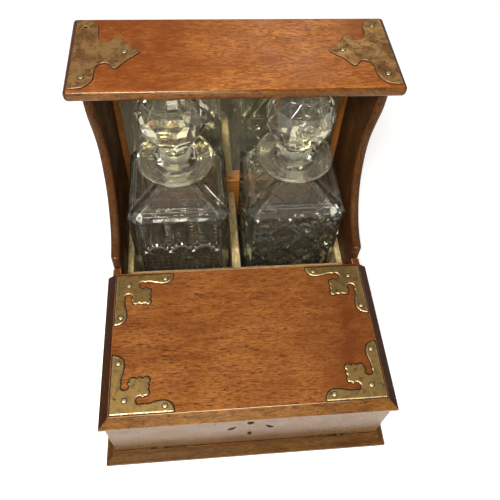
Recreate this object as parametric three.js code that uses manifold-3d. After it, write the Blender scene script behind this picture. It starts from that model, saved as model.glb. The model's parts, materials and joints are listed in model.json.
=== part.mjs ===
// Games tantalus: a games box with a lifting lid stands in front of a mirrored bay,
// where a fixed top board keeps two cut glass decanters and their stoppers captive.
// The box tips forward on hinges at its foot, and the decanters then slide out.
// Millimetres, +Z up, front towards -Y, origin under the middle of the whole piece.

import * as THREE from 'three';
import Module from 'manifold-3d';
import { mergeVertices } from 'three/addons/utils/BufferGeometryUtils.js';
import { ConvexGeometry } from 'three/addons/geometries/ConvexGeometry.js';

const wasm = await Module();
wasm.setup();

// Fits between pieces
const seat = 0.3;
const runningGap = 0.5;
const overrun = 2;

// Carcass
const plinthHeight = 12;
const plinthReach = 9.5;
const plinthLip = 3.6;
const plinthShelf = 1;
const baseThickness = 9.5;
const baizeThickness = 1;
const sideThickness = 8;
const sideRound = 3;
const uprightFoot = 12;
const uprightFootRise = 7.5;
const uprightWaist = 66;
const backThickness = 3.3;
const topOverhangSide = 11.5;
const topDepth = 90;
const topThickness = 9;
const topRound = 3.4;
const topOverhangBack = 5.5;

// Mirror and the lining of the bay
const railThickness = 11;
const railHeight = 68;
const mirrorThickness = 3;
const mirrorBackGap = 0.9;
const beadWidth = 5.5;
const beadThickness = 6.5;
const linerThickness = 5.7;
const linerLevel = 50;
const dividerThickness = 7.5;
const padThickness = 1.5;

// Games box
const boxWall = 7;
const boxRise = 0.9;
const boxHeadroom = 19.6;
const floorThickness = 4;
const liningThickness = 0.6;
const battenThickness = 7.5;
const battenEndGap = 2;
const partitionThickness = 3;
const partitionHeight = 34;
const cardGap = 1.5;
const cardEndGap = 2.35;
const catchWellWidth = 21;
const cribbageEndGap = 8.2;
const cribbageFrontGap = 5.1;
const cribbageWidth = 34;
const cribbageThickness = 10;
const pegHoleRadius = 0.9;
const pegHoleDepth = 5;
const cardLength = 88;
const cardWidth = 63;
const packThickness = 17;
const cardCorner = 3.5;

// Lid
const lidThickness = 8.2;
const lidOverhang = 3;
const lidChamferRun = 7.7;
const lidChamferDrop = 5.4;

// Butt hinges of the lid
const lidHingeLength = 32;
const lidHingePlace = 62;
const lidKnuckleRadius = 1.5;
const lidLeafWidth = 7;
const lidAxisSetback = 0.8;

// Butt hinges at the foot of the box
const footHingeLength = 36;
const footHingePlace = 72;
const footKnuckleRadius = 1.3;
const footLeafWidth = 15;
const footAxisReach = 0.1;

// What both pairs of hinges share
const leafThickness = 1;
const hingePinRadius = 0.6;

// Lock of the lid
const keyholeDrop = 13.5;
const keyholeRadius = 1.95;
const keySlotWidth = 1.9;
const keySlotDrop = 6.5;
const lockWidth = 44;
const lockHeight = 28;
const lockDepth = 10;
const lockWall = 1.2;
const stapleOffset = 8;
const stapleThickness = 1.8;
const stapleWidth = 4.6;
const stapleDrop = 10;
const stapleWindowWidth = 2.4;
const stapleWindowHeight = 4.4;
const stapleWindowFoot = 1.4;
const boltLength = 19.5;
const boltThickness = 1.6;
const boltHeight = 3.5;
const boltTail = 9;
const boltTravel = 6;
const boltPastStaple = 1.6;
const boltGuideWidth = 2.6;
const keeperWidth = 18;
const escutcheonPinDrop = 26.5;
const escutcheonPinRadius = 1.8;
const escutcheonPinRise = 0.7;

// Catch that ties the box to the bay
const catchLevel = 40;
const catchRodRadius = 2;
const catchKnobRadius = 4.5;
const catchKnobLength = 3;
const catchGuideRadius = 4;
const catchGuideLength = 8.7;
const catchPlateWidth = 17;
const catchPlateHeight = 14;
const catchTravel = 7;
const keeperThickness = 0.8;
const keeperHeight = 14;
const keeperPlateWidth = 6.5;

// Corner mounts of the lid and end mounts of the top board
const mountThickness = 0.8;
const mountBevel = 0.3;
const lidMountArm = 48.5;
const lidMountInset = 1.2;
const topMountEdge = 4;
const topMountTongue = 49;
const topMountInset = 3.6;
const mountPinRadius = 1.9;
const mountPinRise = 0.7;
const mountHoleRadius = 0.8;

// Decanters, measured up from their own foot
const decanterSideGap = 3.875;
const decanterFrontGap = 1.2;
const decanterTravel = 19;
const decanterBackGap = 6.4;
const decanterHalf = 44;
const decanterCorner = 6.5;
const decanterFootBevel = 3;
const decanterShoulder = 106;
const shoulderBevel = 5;
const shoulderTop = 124;
const neckRadius = 16.5;
const lipRadius = 33.4;
const lipUnderside = 134;
const lipTop = 141;
const glassWall = 6;
const boreRadius = 9.9;
const cavityFloor = 9;
const grooveDepth = 1.6;
const thumbprintRadius = 11;
const thumbprintDepth = 1.6;
const thumbprintLevel = 56;
const cutBandTop = 96;
const cutBandFoot = 10;

// Stoppers, measured up from the lip
const plugLength = 22;
const plugRadius = 9.6;
const plugTip = 8.6;
const collarRadius = 15.6;
const stopperNeck = 12.2;
const ballRadius = 27.2;
const ballCentre = 43.4;
const stopperTravel = 2;

const roundSides = 20;
const knuckleSides = 14;
const pinSides = 10;

// The body is as wide as the wider of its two loads: the decanters, or the packs of cards
const wellHalf = dividerThickness / 2 + (decanterSideGap + decanterHalf) * 2;
const halfForDecanters = wellHalf + linerThickness + seat + sideThickness;
const cardWellEnd = catchWellWidth / 2 + partitionThickness + cardEndGap * 2 + cardLength;
const halfBody = Math.max(halfForDecanters, cardWellEnd + seat + boxWall);
const innerHalf = halfBody - sideThickness;
const boxInside = halfBody - boxWall - seat;
const linerOutside = Math.min(innerHalf, halfBody - boxWall) - seat;
const linerInside = linerOutside - linerThickness;
const bodyWidth = halfBody * 2;
const topWidth = (halfBody + topOverhangSide) * 2;

// Places from front to back, from the joint between the box and the bay
const cardWellDepth = cardWidth + cardGap * 2;
const cardWellFront = -boxWall - seat - cardWellDepth;
const cribbageFront = cardWellFront - partitionThickness - seat - cribbageWidth;
const boxDepth = boxWall + seat + lockDepth + cribbageFrontGap - cribbageFront;
const boxFrontInside = -boxDepth + boxWall;
const battenBack = seat + battenThickness;
const dividerFront = battenBack + seat * 2;
const decanterPlace = (dividerThickness / 2 + linerInside) / 2;
const decanterSetback = battenBack + decanterFrontGap + decanterTravel + decanterHalf;
const railFront = decanterSetback + decanterHalf + decanterBackGap;
const bayDepth = railFront + railThickness + seat + backThickness;

// Levels
const boxFloorLevel = plinthHeight + boxRise;
const floorLevel = boxFloorLevel + floorThickness;
const liningLevel = floorLevel + seat + liningThickness;
const cribbageTop = liningLevel + seat + cribbageThickness;
const boxTop = cribbageTop + boxHeadroom + lockHeight + seat;
const keyholeLevel = boxTop - keyholeDrop;
const escutcheonPinLevel = keyholeLevel - escutcheonPinDrop;
const lidLevel = boxTop + seat;
const lidTop = lidLevel + lidThickness;
const uprightFootLevel = lidTop + uprightFootRise;
const padLevel = plinthHeight + seat + padThickness;
const decanterFoot = padLevel + seat;
const stopperFoot = decanterFoot + lipTop + seat;
const underBoardHeight = stopperFoot + ballCentre + ballRadius + stopperTravel;
const topLevel = underBoardHeight + topThickness;

const footAxis = { y: -boxDepth - footAxisReach, z: plinthHeight + boxRise / 2 };
const lidAxis = { y: lidAxisSetback, z: boxTop + seat / 2 };

// Turns closed geometry into a solid that can be joined and cut
function toSolid(geometry) {
  const bare = new THREE.BufferGeometry();
  bare.setAttribute('position', geometry.getAttribute('position'));
  bare.setIndex(geometry.getIndex());
  const merged = mergeVertices(bare);
  const vertProperties = new Float32Array(merged.getAttribute('position').array);
  const triVerts = new Uint32Array(merged.getIndex().array);
  return new wasm.Manifold(new wasm.Mesh({ numProp: 3, vertProperties, triVerts }));
}

// Turns a joined or cut solid back into geometry
function toGeometry(solid) {
  const mesh = solid.getMesh();
  const geometry = new THREE.BufferGeometry();
  geometry.setAttribute('position', new THREE.BufferAttribute(mesh.vertProperties, 3));
  geometry.setIndex(new THREE.BufferAttribute(mesh.triVerts, 1));
  return geometry;
}

const join = (first, ...rest) =>
  toGeometry(rest.reduce((sum, next) => sum.add(toSolid(next)), toSolid(first)));

const cut = (body, ...tools) =>
  toGeometry(tools.reduce((left, tool) => left.subtract(toSolid(tool)), toSolid(body)));

const overlapOf = (first, second) => toGeometry(toSolid(first).intersect(toSolid(second)));

// A block between two limits on each axis
function block([x0, x1], [y0, y1], [z0, z1]) {
  const box = new THREE.BoxGeometry(x1 - x0, y1 - y0, z1 - z0);
  return box.translate((x0 + x1) / 2, (y0 + y1) / 2, (z0 + z1) / 2);
}

// A round bar from one point to another
function rod(radius, from, to, sides = pinSides) {
  const start = new THREE.Vector3(...from);
  const end = new THREE.Vector3(...to);
  const along = end.clone().sub(start);
  const bar = new THREE.CylinderGeometry(radius, radius, along.length(), sides);
  const up = new THREE.Vector3(0, 1, 0);
  const turn = new THREE.Quaternion().setFromUnitVectors(up, along.clone().normalize());
  return bar.applyQuaternion(turn).translate(...start.add(end).divideScalar(2).toArray());
}

// The mirror image across the middle plane, with its faces turned outwards again
function mirrored(geometry) {
  const copy = mergeVertices(geometry.clone().deleteAttribute('normal').deleteAttribute('uv'));
  const corners = copy.getIndex().array;
  for (let i = 0; i < corners.length; i += 3) {
    [corners[i], corners[i + 1]] = [corners[i + 1], corners[i]];
  }
  return copy.scale(-1, 1, 1);
}

// A skin through rings of points, closed flat at both ends by fans from each first point
function loft(rings) {
  const count = rings[0].length;
  const index = [];
  for (let level = 0; level < rings.length - 1; level += 1) {
    for (let i = 0; i < count; i += 1) {
      const a = level * count + i;
      const b = level * count + ((i + 1) % count);
      index.push(a, b, b + count, a, b + count, a + count);
    }
  }
  const last = (rings.length - 1) * count;
  for (let i = 1; i < count - 1; i += 1) {
    index.push(0, i + 1, i, last, last + i, last + i + 1);
  }
  const geometry = new THREE.BufferGeometry();
  const positions = new Float32Array(rings.flat(2));
  geometry.setAttribute('position', new THREE.BufferAttribute(positions, 3));
  geometry.setIndex(index);
  return geometry;
}

// One ring of a square with its corners cut off
function cutSquare(half, corner, z) {
  const flat = half - corner;
  return [
    [half, -flat, z],
    [half, flat, z],
    [flat, half, z],
    [-flat, half, z],
    [-half, flat, z],
    [-half, -flat, z],
    [-flat, -half, z],
    [flat, -half, z],
  ];
}

// A round piece turned about the Z axis from an outline of radius and height
function turned(points, sides = roundSides) {
  const outline = points.map(([radius, z]) => new THREE.Vector2(radius, z));
  return new THREE.LatheGeometry(outline, sides).rotateX(Math.PI / 2);
}

const group = new THREE.Group();
group.name = 'games_tantalus';
group.position.y = (boxDepth + plinthReach - bayDepth - topOverhangBack) / 2;

const finishes = {
  oak: { color: '#6f3b1d', roughness: 0.42, metalness: 0 },
  paleWood: { color: '#9a8156', roughness: 0.75, metalness: 0 },
  darkWood: { color: '#3b2012', roughness: 0.6, metalness: 0 },
  baize: { color: '#2f5138', roughness: 0.95, metalness: 0 },
  brass: { color: '#8a6a38', roughness: 0.42, metalness: 1 },
  copper: { color: '#7a4a2c', roughness: 0.45, metalness: 1 },
  steel: { color: '#77746c', roughness: 0.4, metalness: 1 },
  mirror: { color: '#c9d0d0', roughness: 0.05, metalness: 1 },
  glass: { color: '#dfe6dc', roughness: 0.05, metalness: 0 },
  card: { color: '#d9cfb8', roughness: 0.8, metalness: 0 },
};

function add(name, geometry, finish) {
  const material = new THREE.MeshStandardMaterial(finishes[finish]);
  const mesh = new THREE.Mesh(geometry, material);
  mesh.name = name;
  group.add(mesh);
}

// The right-hand copy of a piece is the mirror image of the left-hand one
function addPair(name, leftGeometry, finish) {
  add(`${name}_left`, leftGeometry, finish);
  add(`${name}_right`, mirrored(leftGeometry), finish);
}

// Base board, its green cloth underneath and the mitred plinth moulding
const footGroove = (place) =>
  rod(
    footKnuckleRadius + seat,
    [place - footHingeLength / 2 - seat, footAxis.y, footAxis.z],
    [place + footHingeLength / 2 + seat, footAxis.y, footAxis.z],
    roundSides,
  );

const footLeafRoom = (place, z0, z1) =>
  block(
    [place - footHingeLength / 2 - seat, place + footHingeLength / 2 + seat],
    [footAxis.y - seat, footAxis.y + footLeafWidth + seat],
    [z0, z1],
  );

function baseBoard() {
  const board = block(
    [-halfBody + seat, halfBody - seat],
    [-boxDepth + seat, bayDepth],
    [plinthHeight - baseThickness, plinthHeight],
  );
  const roomFoot = plinthHeight - leafThickness - seat;
  const tools = [-footHingePlace, footHingePlace].flatMap((place) => [
    footGroove(place),
    footLeafRoom(place, roomFoot, plinthHeight + overrun),
  ]);
  return cut(board, ...tools);
}

function baseBaize() {
  const top = plinthHeight - baseThickness - seat;
  return block(
    [-halfBody + plinthLip, halfBody - plinthLip],
    [-boxDepth + plinthLip, bayDepth - plinthLip],
    [top - baizeThickness, top],
  );
}

// The moulding has an upright lip at the floor, then a hollow that rises to the box
function plinthProfile() {
  const hollow = new THREE.QuadraticBezierCurve(
    new THREE.Vector2(plinthReach - plinthLip / 2, plinthLip * 1.5),
    new THREE.Vector2(plinthShelf * 2, plinthHeight / 2),
    new THREE.Vector2(plinthShelf, plinthHeight),
  );
  const curve = hollow.getPoints(5).map((point) => [point.x, point.y]);
  return [[0, 0], [0, plinthHeight], ...curve.reverse(), [plinthReach, plinthLip], [plinthReach, 0]];
}

// A moulding of one profile whose ends lean outwards for the mitres
function mitredMoulding(length, leftMitre, rightMitre) {
  const profile = plinthProfile();
  const ringAt = (end, mitre) =>
    profile.map(([reach, z]) => [end + Math.sign(end) * reach * mitre, -reach, z]);
  return loft([ringAt(-length / 2, leftMitre), ringAt(length / 2, rightMitre)]);
}

function plinthFront() {
  const strip = mitredMoulding(bodyWidth - seat, 1, 1).translate(0, -boxDepth, 0);
  const roomFoot = plinthHeight - leafThickness - seat;
  const tools = [-footHingePlace, footHingePlace].flatMap((place) => [
    footGroove(place),
    footLeafRoom(place, roomFoot, plinthHeight + overrun),
  ]);
  return cut(strip, ...tools);
}

function plinthLeft() {
  const length = boxDepth + bayDepth - seat;
  const strip = mitredMoulding(length, 0, 1);
  const middle = (bayDepth - boxDepth + seat) / 2;
  return strip.rotateZ(-Math.PI / 2).translate(-halfBody, middle, 0);
}

add('base_board', baseBoard(), 'oak');
add('base_baize', baseBaize(), 'baize');
add('plinth_front', plinthFront(), 'oak');
addPair('plinth', plinthLeft(), 'oak');

// Uprights: the front edge is drawn in like a console bracket and rounded over
const uprightCurveShares = [
  [0, 0],
  [0.3, 0.035],
  [0.56, 0.11],
  [0.75, 0.2],
  [0.88, 0.3],
  [0.97, 0.43],
  [1, 0.54],
  [0.98, 0.65],
  [0.91, 0.77],
  [0.84, 0.88],
  [0.82, 1],
];

function uprightOutline() {
  const reach = uprightWaist - uprightFoot;
  const rise = underBoardHeight - uprightFootLevel;
  const knots = uprightCurveShares.map(
    ([across, up]) =>
      new THREE.Vector2(uprightFoot + across * reach, uprightFootLevel + up * rise),
  );
  const curve = new THREE.SplineCurve(knots).getPoints(26);
  const bottom = new THREE.Vector2(uprightFoot, plinthHeight - sideRound * 2);
  const backTop = new THREE.Vector2(bayDepth + sideRound * 2, underBoardHeight + sideRound * 2);
  const backBottom = new THREE.Vector2(bayDepth + sideRound * 2, plinthHeight - sideRound * 2);
  const frontTop = curve[curve.length - 1].clone().setY(underBoardHeight + sideRound * 2);
  return [bottom, backBottom, backTop, frontTop, ...curve.reverse().slice(1)];
}

function sidePanelLeft() {
  const rounded = new THREE.ExtrudeGeometry(new THREE.Shape(uprightOutline()), {
    depth: sideThickness - sideRound * 2,
    bevelThickness: sideRound,
    bevelSize: sideRound,
    bevelOffset: -sideRound,
    bevelSegments: 3,
  });
  const axes = new THREE.Matrix4().makeBasis(
    new THREE.Vector3(0, 1, 0),
    new THREE.Vector3(0, 0, 1),
    new THREE.Vector3(1, 0, 0),
  );
  rounded.applyMatrix4(axes).translate(-halfBody + sideRound, 0, 0);
  const room = block(
    [-halfBody - overrun, -innerHalf + overrun],
    [uprightFoot - overrun, bayDepth],
    [plinthHeight + seat, underBoardHeight - seat],
  );
  return overlapOf(rounded, room);
}

addPair('side_panel', sidePanelLeft(), 'oak');

// Back panel, mirror rail, mirror and its beads
const acrossBay = [-innerHalf + seat, innerHalf - seat];
const mirrorBack = bayDepth - backThickness - mirrorBackGap;
const mirrorFront = mirrorBack - mirrorThickness;
const mirrorFoot = railHeight + seat;
const mirrorHead = underBoardHeight - seat;

function mirrorBeadLeft() {
  const front = mirrorFront - seat - beadThickness;
  const back = mirrorFront - seat;
  const outer = -innerHalf + seat;
  const inner = outer + beadWidth;
  const round = new THREE.QuadraticBezierCurve(
    new THREE.Vector2(outer + beadWidth / 4, front),
    new THREE.Vector2(inner, front),
    new THREE.Vector2(inner, back - beadThickness / 4),
  );
  const outline = [
    new THREE.Vector2(outer, back),
    new THREE.Vector2(outer, front),
    ...round.getPoints(5),
    new THREE.Vector2(inner, back),
  ];
  const depth = mirrorHead - mirrorFoot;
  const bead = new THREE.ExtrudeGeometry(new THREE.Shape(outline), { depth, bevelEnabled: false });
  return bead.translate(0, 0, mirrorFoot);
}

const backPanelY = [bayDepth - backThickness, bayDepth];
add('back_panel', block(acrossBay, backPanelY, [plinthHeight + seat, mirrorHead]), 'oak');
add(
  'mirror_rail',
  block(acrossBay, [railFront, railFront + railThickness], [plinthHeight + seat, railHeight]),
  'oak',
);
add('mirror', block(acrossBay, [mirrorFront, mirrorBack], [mirrorFoot, mirrorHead]), 'mirror');
addPair('mirror_bead', mirrorBeadLeft(), 'oak');

// Top board with rounded edges all round
function topBoard() {
  const half = topWidth / 2;
  const back = bayDepth + topOverhangBack;
  const front = back - topDepth;
  const outline = new THREE.Shape([
    new THREE.Vector2(-half, front),
    new THREE.Vector2(half, front),
    new THREE.Vector2(half, back),
    new THREE.Vector2(-half, back),
  ]);
  const board = new THREE.ExtrudeGeometry(outline, {
    depth: topThickness - topRound * 2,
    bevelThickness: topRound,
    bevelSize: topRound,
    bevelOffset: -topRound,
    bevelSegments: 4,
  });
  return board.translate(0, 0, underBoardHeight + topRound);
}

add('top_board', topBoard(), 'oak');

// Linings and floors of the two wells, and the divider that takes the catch
const linerY = [seat * 2, railFront - seat];
add(
  'well_liner_left',
  block([-linerOutside, -linerInside], linerY, [plinthHeight + seat, linerLevel]),
  'paleWood',
);
add(
  'well_liner_right',
  block([linerInside, linerOutside], linerY, [plinthHeight + seat, linerLevel]),
  'paleWood',
);

const keeperZ = [catchLevel - keeperHeight / 2, catchLevel + keeperHeight / 2];
const keeperX = [-keeperPlateWidth / 2, keeperPlateWidth / 2];

function wellDivider() {
  const wall = block(
    [-dividerThickness / 2, dividerThickness / 2],
    [dividerFront, railFront - seat],
    [plinthHeight + seat, linerLevel],
  );
  const plateRoom = block(
    [keeperX[0] - seat, keeperX[1] + seat],
    [dividerFront - overrun, dividerFront + keeperThickness + seat],
    [keeperZ[0] - seat, keeperZ[1] + seat],
  );
  const holeEnd = dividerFront + catchTravel + overrun;
  const hole = rod(
    catchRodRadius + runningGap,
    [0, dividerFront - overrun, catchLevel],
    [0, holeEnd, catchLevel],
  );
  return cut(wall, plateRoom, hole);
}

function catchKeeper() {
  const plate = block(keeperX, [dividerFront, dividerFront + keeperThickness], keeperZ);
  const hole = rod(
    catchRodRadius + runningGap,
    [0, dividerFront - overrun, catchLevel],
    [0, dividerFront + overrun, catchLevel],
  );
  return cut(plate, hole);
}

add('well_divider', wellDivider(), 'paleWood');
add('catch_keeper', catchKeeper(), 'brass');
addPair(
  'well_pad',
  block(
    [-linerInside + seat, -dividerThickness / 2 - seat],
    [dividerFront, railFront - seat],
    [plinthHeight + seat, padLevel],
  ),
  'baize',
);

// Games box: front with its keyhole, sides, back, batten, floor and partitions
const lidGroove = (place) =>
  rod(
    lidKnuckleRadius + seat,
    [place - lidHingeLength / 2 - seat, lidAxis.y, lidAxis.z],
    [place + lidHingeLength / 2 + seat, lidAxis.y, lidAxis.z],
    roundSides,
  );

const lidLeafRoom = (place, z0, z1) =>
  block(
    [place - lidHingeLength / 2 - seat, place + lidHingeLength / 2 + seat],
    [lidAxis.y - lidLeafWidth - seat, lidAxis.y + seat],
    [z0, z1],
  );

const lidHinges = [-lidHingePlace, lidHingePlace];
const footHinges = [-footHingePlace, footHingePlace];
const footLeafTop = boxFloorLevel + leafThickness + seat;

function boxFront() {
  const panel = block([-halfBody, halfBody], [-boxDepth, boxFrontInside], [boxFloorLevel, boxTop]);
  const through = [-boxDepth - overrun, boxFrontInside + overrun];
  const eye = rod(
    keyholeRadius,
    [0, through[0], keyholeLevel],
    [0, through[1], keyholeLevel],
    roundSides,
  );
  const slot = block(
    [-keySlotWidth / 2, keySlotWidth / 2],
    through,
    [keyholeLevel - keySlotDrop, keyholeLevel],
  );
  const pinHole = rod(
    escutcheonPinRadius / 2 + seat,
    [0, through[0], escutcheonPinLevel],
    [0, -boxDepth + boxWall / 2, escutcheonPinLevel],
  );
  const hingeRoom = footHinges.flatMap((place) => [
    footGroove(place),
    footLeafRoom(place, boxFloorLevel - overrun, footLeafTop),
  ]);
  return cut(panel, eye, slot, pinHole, ...hingeRoom);
}

function escutcheonPin() {
  const head = rod(
    escutcheonPinRadius,
    [0, -boxDepth - seat - escutcheonPinRise, escutcheonPinLevel],
    [0, -boxDepth - seat, escutcheonPinLevel],
    pinSides,
  );
  const shank = rod(
    escutcheonPinRadius / 2,
    [0, -boxDepth - seat - escutcheonPinRise / 2, escutcheonPinLevel],
    [0, -boxDepth + boxWall / 2 - seat, escutcheonPinLevel],
  );
  return join(head, shank);
}

function boxBack() {
  const panel = block([-boxInside, boxInside], [-boxWall, 0], [boxFloorLevel, boxTop]);
  const hole = rod(
    catchRodRadius + seat,
    [0, -boxWall - overrun, catchLevel],
    [0, overrun, catchLevel],
  );
  const hingeRoom = lidHinges.flatMap((place) => [
    lidGroove(place),
    lidLeafRoom(place, boxTop - leafThickness - seat, boxTop + overrun),
  ]);
  return cut(panel, hole, ...hingeRoom);
}

function boxBatten() {
  const strip = block(
    [-linerInside + battenEndGap, linerInside - battenEndGap],
    [seat, battenBack],
    [boxFloorLevel, boxTop],
  );
  const hole = rod(
    catchRodRadius + seat,
    [0, -overrun, catchLevel],
    [0, battenBack + overrun, catchLevel],
  );
  const hingeRoom = lidHinges.flatMap((place) => [
    lidGroove(place),
    lidLeafRoom(place, boxTop - leafThickness - seat, boxTop + overrun),
  ]);
  return cut(strip, hole, ...hingeRoom);
}

function boxFloor() {
  const board = block(
    [-boxInside, boxInside],
    [boxFrontInside + seat, -boxWall - seat],
    [boxFloorLevel, floorLevel],
  );
  const hingeRoom = footHinges.map((place) =>
    footLeafRoom(place, boxFloorLevel - overrun, footLeafTop),
  );
  return cut(board, ...hingeRoom);
}

add('box_front', boxFront(), 'oak');
addPair(
  'box_side',
  block(
    [-halfBody, -halfBody + boxWall],
    [boxFrontInside + seat, uprightFoot - seat],
    [boxFloorLevel, boxTop],
  ),
  'oak',
);
add('box_back', boxBack(), 'oak');
add('box_batten', boxBatten(), 'oak');
add('box_floor', boxFloor(), 'darkWood');
add('escutcheon_pin', escutcheonPin(), 'brass');
add(
  'games_lining',
  block(
    [-boxInside + seat, boxInside - seat],
    [boxFrontInside + seat * 2, -boxWall - seat * 2],
    [floorLevel + seat, liningLevel],
  ),
  'baize',
);

const partitionZ = [liningLevel + seat, liningLevel + seat + partitionHeight];
add(
  'partition_long',
  block(
    [-boxInside + seat, boxInside - seat],
    [cardWellFront - partitionThickness, cardWellFront],
    partitionZ,
  ),
  'paleWood',
);
addPair(
  'partition_short',
  block(
    [-catchWellWidth / 2 - partitionThickness, -catchWellWidth / 2],
    [cardWellFront + seat, -boxWall - seat],
    partitionZ,
  ),
  'paleWood',
);

// Cribbage board: two streets of holes on each side for pegging, in groups of five
function cribbageBoard() {
  const middle = cribbageFront + cribbageWidth / 2;
  const cribbageLength = (boxInside - cribbageEndGap) * 2;
  const foot = liningLevel + seat;
  const top = cribbageTop;
  const body = block(
    [-cribbageLength / 2, cribbageLength / 2],
    [middle - cribbageWidth / 2, middle + cribbageWidth / 2],
    [foot, top],
  );
  const columns = 30;
  const groupSize = 5;
  const groups = columns / groupSize;
  const pitch = cribbageLength / (columns + groups + 1);
  const rowShares = [0.22, 0.38, 0.62, 0.78];
  const holes = [];
  for (let column = 0; column < columns; column += 1) {
    const skipped = Math.floor(column / groupSize) + 1;
    const x = -cribbageLength / 2 + pitch * (column + skipped);
    for (const share of rowShares) {
      const y = middle + (share - 0.5) * cribbageWidth;
      holes.push(rod(pegHoleRadius, [x, y, top - pegHoleDepth], [x, y, top + overrun], 4));
    }
  }
  return cut(body, ...holes);
}

// A pack of playing cards lying flat in its well
function cardPackLeft() {
  const shape = new THREE.Shape();
  const x = cardLength / 2;
  const y = cardWidth / 2;
  const r = cardCorner;
  shape.moveTo(-x + r, -y);
  shape.lineTo(x - r, -y);
  shape.absarc(x - r, -y + r, r, -Math.PI / 2, 0);
  shape.absarc(x - r, y - r, r, 0, Math.PI / 2);
  shape.absarc(-x + r, y - r, r, Math.PI / 2, Math.PI);
  shape.absarc(-x + r, -y + r, r, Math.PI, Math.PI * 1.5);
  const options = { depth: packThickness, bevelEnabled: false, curveSegments: 4 };
  const pack = new THREE.ExtrudeGeometry(shape, options);
  const wellInner = -catchWellWidth / 2 - partitionThickness;
  const middleX = (wellInner - boxInside) / 2;
  const middleY = cardWellFront + cardWellDepth / 2;
  return pack.translate(middleX, middleY, liningLevel + seat);
}

add('cribbage_board', cribbageBoard(), 'paleWood');
addPair('card_pack', cardPackLeft(), 'card');

// Lock case on the inside of the box front, with its bolt and the staple on the lid
const lockBack = boxFrontInside + seat + lockDepth;
const lockInside = [boxFrontInside + seat + lockWall, lockBack - lockWall];
const lockMiddle = (lockInside[0] + lockInside[1]) / 2;
const stapleTip = lidLevel - stapleDrop;
const windowZ = [stapleTip + stapleWindowFoot, stapleTip + stapleWindowFoot + stapleWindowHeight];
const boltMiddle = (windowZ[0] + windowZ[1]) / 2;
const stapleX = [stapleOffset, stapleOffset + stapleThickness];
const boltY = [lockMiddle - boltThickness / 2, lockMiddle + boltThickness / 2];
const boltNose = stapleX[1] + boltPastStaple - boltTravel;
const boltTailEnd = boltNose - boltLength;
const boltGuidePlaces = [boltTailEnd + boltTravel + seat * 2, boltNose - boltGuideWidth * 2];

function lockCase() {
  const top = boxTop - seat;
  const shell = block(
    [-lockWidth / 2, lockWidth / 2],
    [boxFrontInside + seat, lockBack],
    [top - lockHeight, top],
  );
  const cavity = block(
    [-lockWidth / 2 + lockWall, lockWidth / 2 - lockWall],
    lockInside,
    [top - lockHeight + lockWall, top - lockWall],
  );
  const slot = block(
    [stapleX[0] - stapleThickness, stapleX[1] + stapleThickness],
    [lockMiddle - stapleWidth / 2 - lockWall, lockMiddle + stapleWidth / 2 + lockWall],
    [top - lockWall - overrun, top + overrun],
  );
  const keyway = rod(
    keyholeRadius,
    [0, boxFrontInside - overrun, keyholeLevel],
    [0, lockInside[0] + overrun, keyholeLevel],
    roundSides,
  );
  const boltRoom = block(
    [boltTailEnd - overrun, boltNose + boltTravel],
    [boltY[0] - seat, boltY[1] + seat],
    [boltMiddle - boltHeight - seat, boltMiddle + boltHeight / 2 + seat],
  );
  const guides = boltGuidePlaces.map((place) =>
    block(
      [place, place + boltGuideWidth],
      [boltY[0] - boltThickness / 2, lockInside[1] + lockWall / 2],
      [boltMiddle - boltHeight - boltGuideWidth, top - lockWall / 2],
    ),
  );
  return cut(join(cut(shell, cavity, slot, keyway), ...guides), boltRoom);
}

function lockBolt() {
  const bar = block(
    [boltTailEnd, boltNose],
    boltY,
    [boltMiddle - boltHeight / 2, boltMiddle + boltHeight / 2],
  );
  const tail = block(
    [boltTailEnd, boltTailEnd + boltTail],
    boltY,
    [boltMiddle - boltHeight, boltMiddle],
  );
  return join(bar, tail);
}

function lidKeeper() {
  const middle = (stapleX[0] + stapleX[1]) / 2;
  const plate = block(
    [middle - keeperWidth / 2, middle + keeperWidth / 2],
    [lockMiddle - lockDepth / 2, lockMiddle + lockDepth / 2],
    [lidLevel, lidLevel + leafThickness],
  );
  const staple = block(
    stapleX,
    [lockMiddle - stapleWidth / 2, lockMiddle + stapleWidth / 2],
    [stapleTip, lidLevel + leafThickness / 2],
  );
  const opening = block(
    [stapleX[0] - overrun, stapleX[1] + overrun],
    [lockMiddle - stapleWindowWidth / 2, lockMiddle + stapleWindowWidth / 2],
    windowZ,
  );
  return cut(join(plate, staple), opening);
}

add('lock_case', lockCase(), 'brass');
add('lock_bolt', lockBolt(), 'steel');
add('lid_keeper', lidKeeper(), 'brass');

// Catch: a knobbed bolt in a guide on the box back, reached only with the lid up
function catchGuide() {
  const plateBack = -boxWall - seat;
  const plate = block(
    [-catchPlateWidth / 2, catchPlateWidth / 2],
    [plateBack - leafThickness, plateBack],
    [catchLevel - catchPlateHeight / 2, catchLevel + catchPlateHeight / 2],
  );
  const barrel = rod(
    catchGuideRadius,
    [0, plateBack - catchGuideLength, catchLevel],
    [0, plateBack - leafThickness / 2, catchLevel],
    roundSides,
  );
  const bore = rod(
    catchRodRadius + seat,
    [0, plateBack - catchGuideLength - overrun, catchLevel],
    [0, plateBack + overrun, catchLevel],
  );
  return cut(join(plate, barrel), bore);
}

function catchBolt() {
  const knobBack = -boxWall - catchGuideLength - catchTravel - seat * 4;
  const knob = rod(
    catchKnobRadius,
    [0, knobBack - catchKnobLength, catchLevel],
    [0, knobBack, catchLevel],
    roundSides,
  );
  const shank = rod(
    catchRodRadius,
    [0, knobBack - catchKnobLength / 2, catchLevel],
    [0, battenBack - seat, catchLevel],
  );
  return join(knob, shank);
}

add('catch_guide', catchGuide(), 'brass');
add('catch_bolt', catchBolt(), 'brass');

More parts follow.
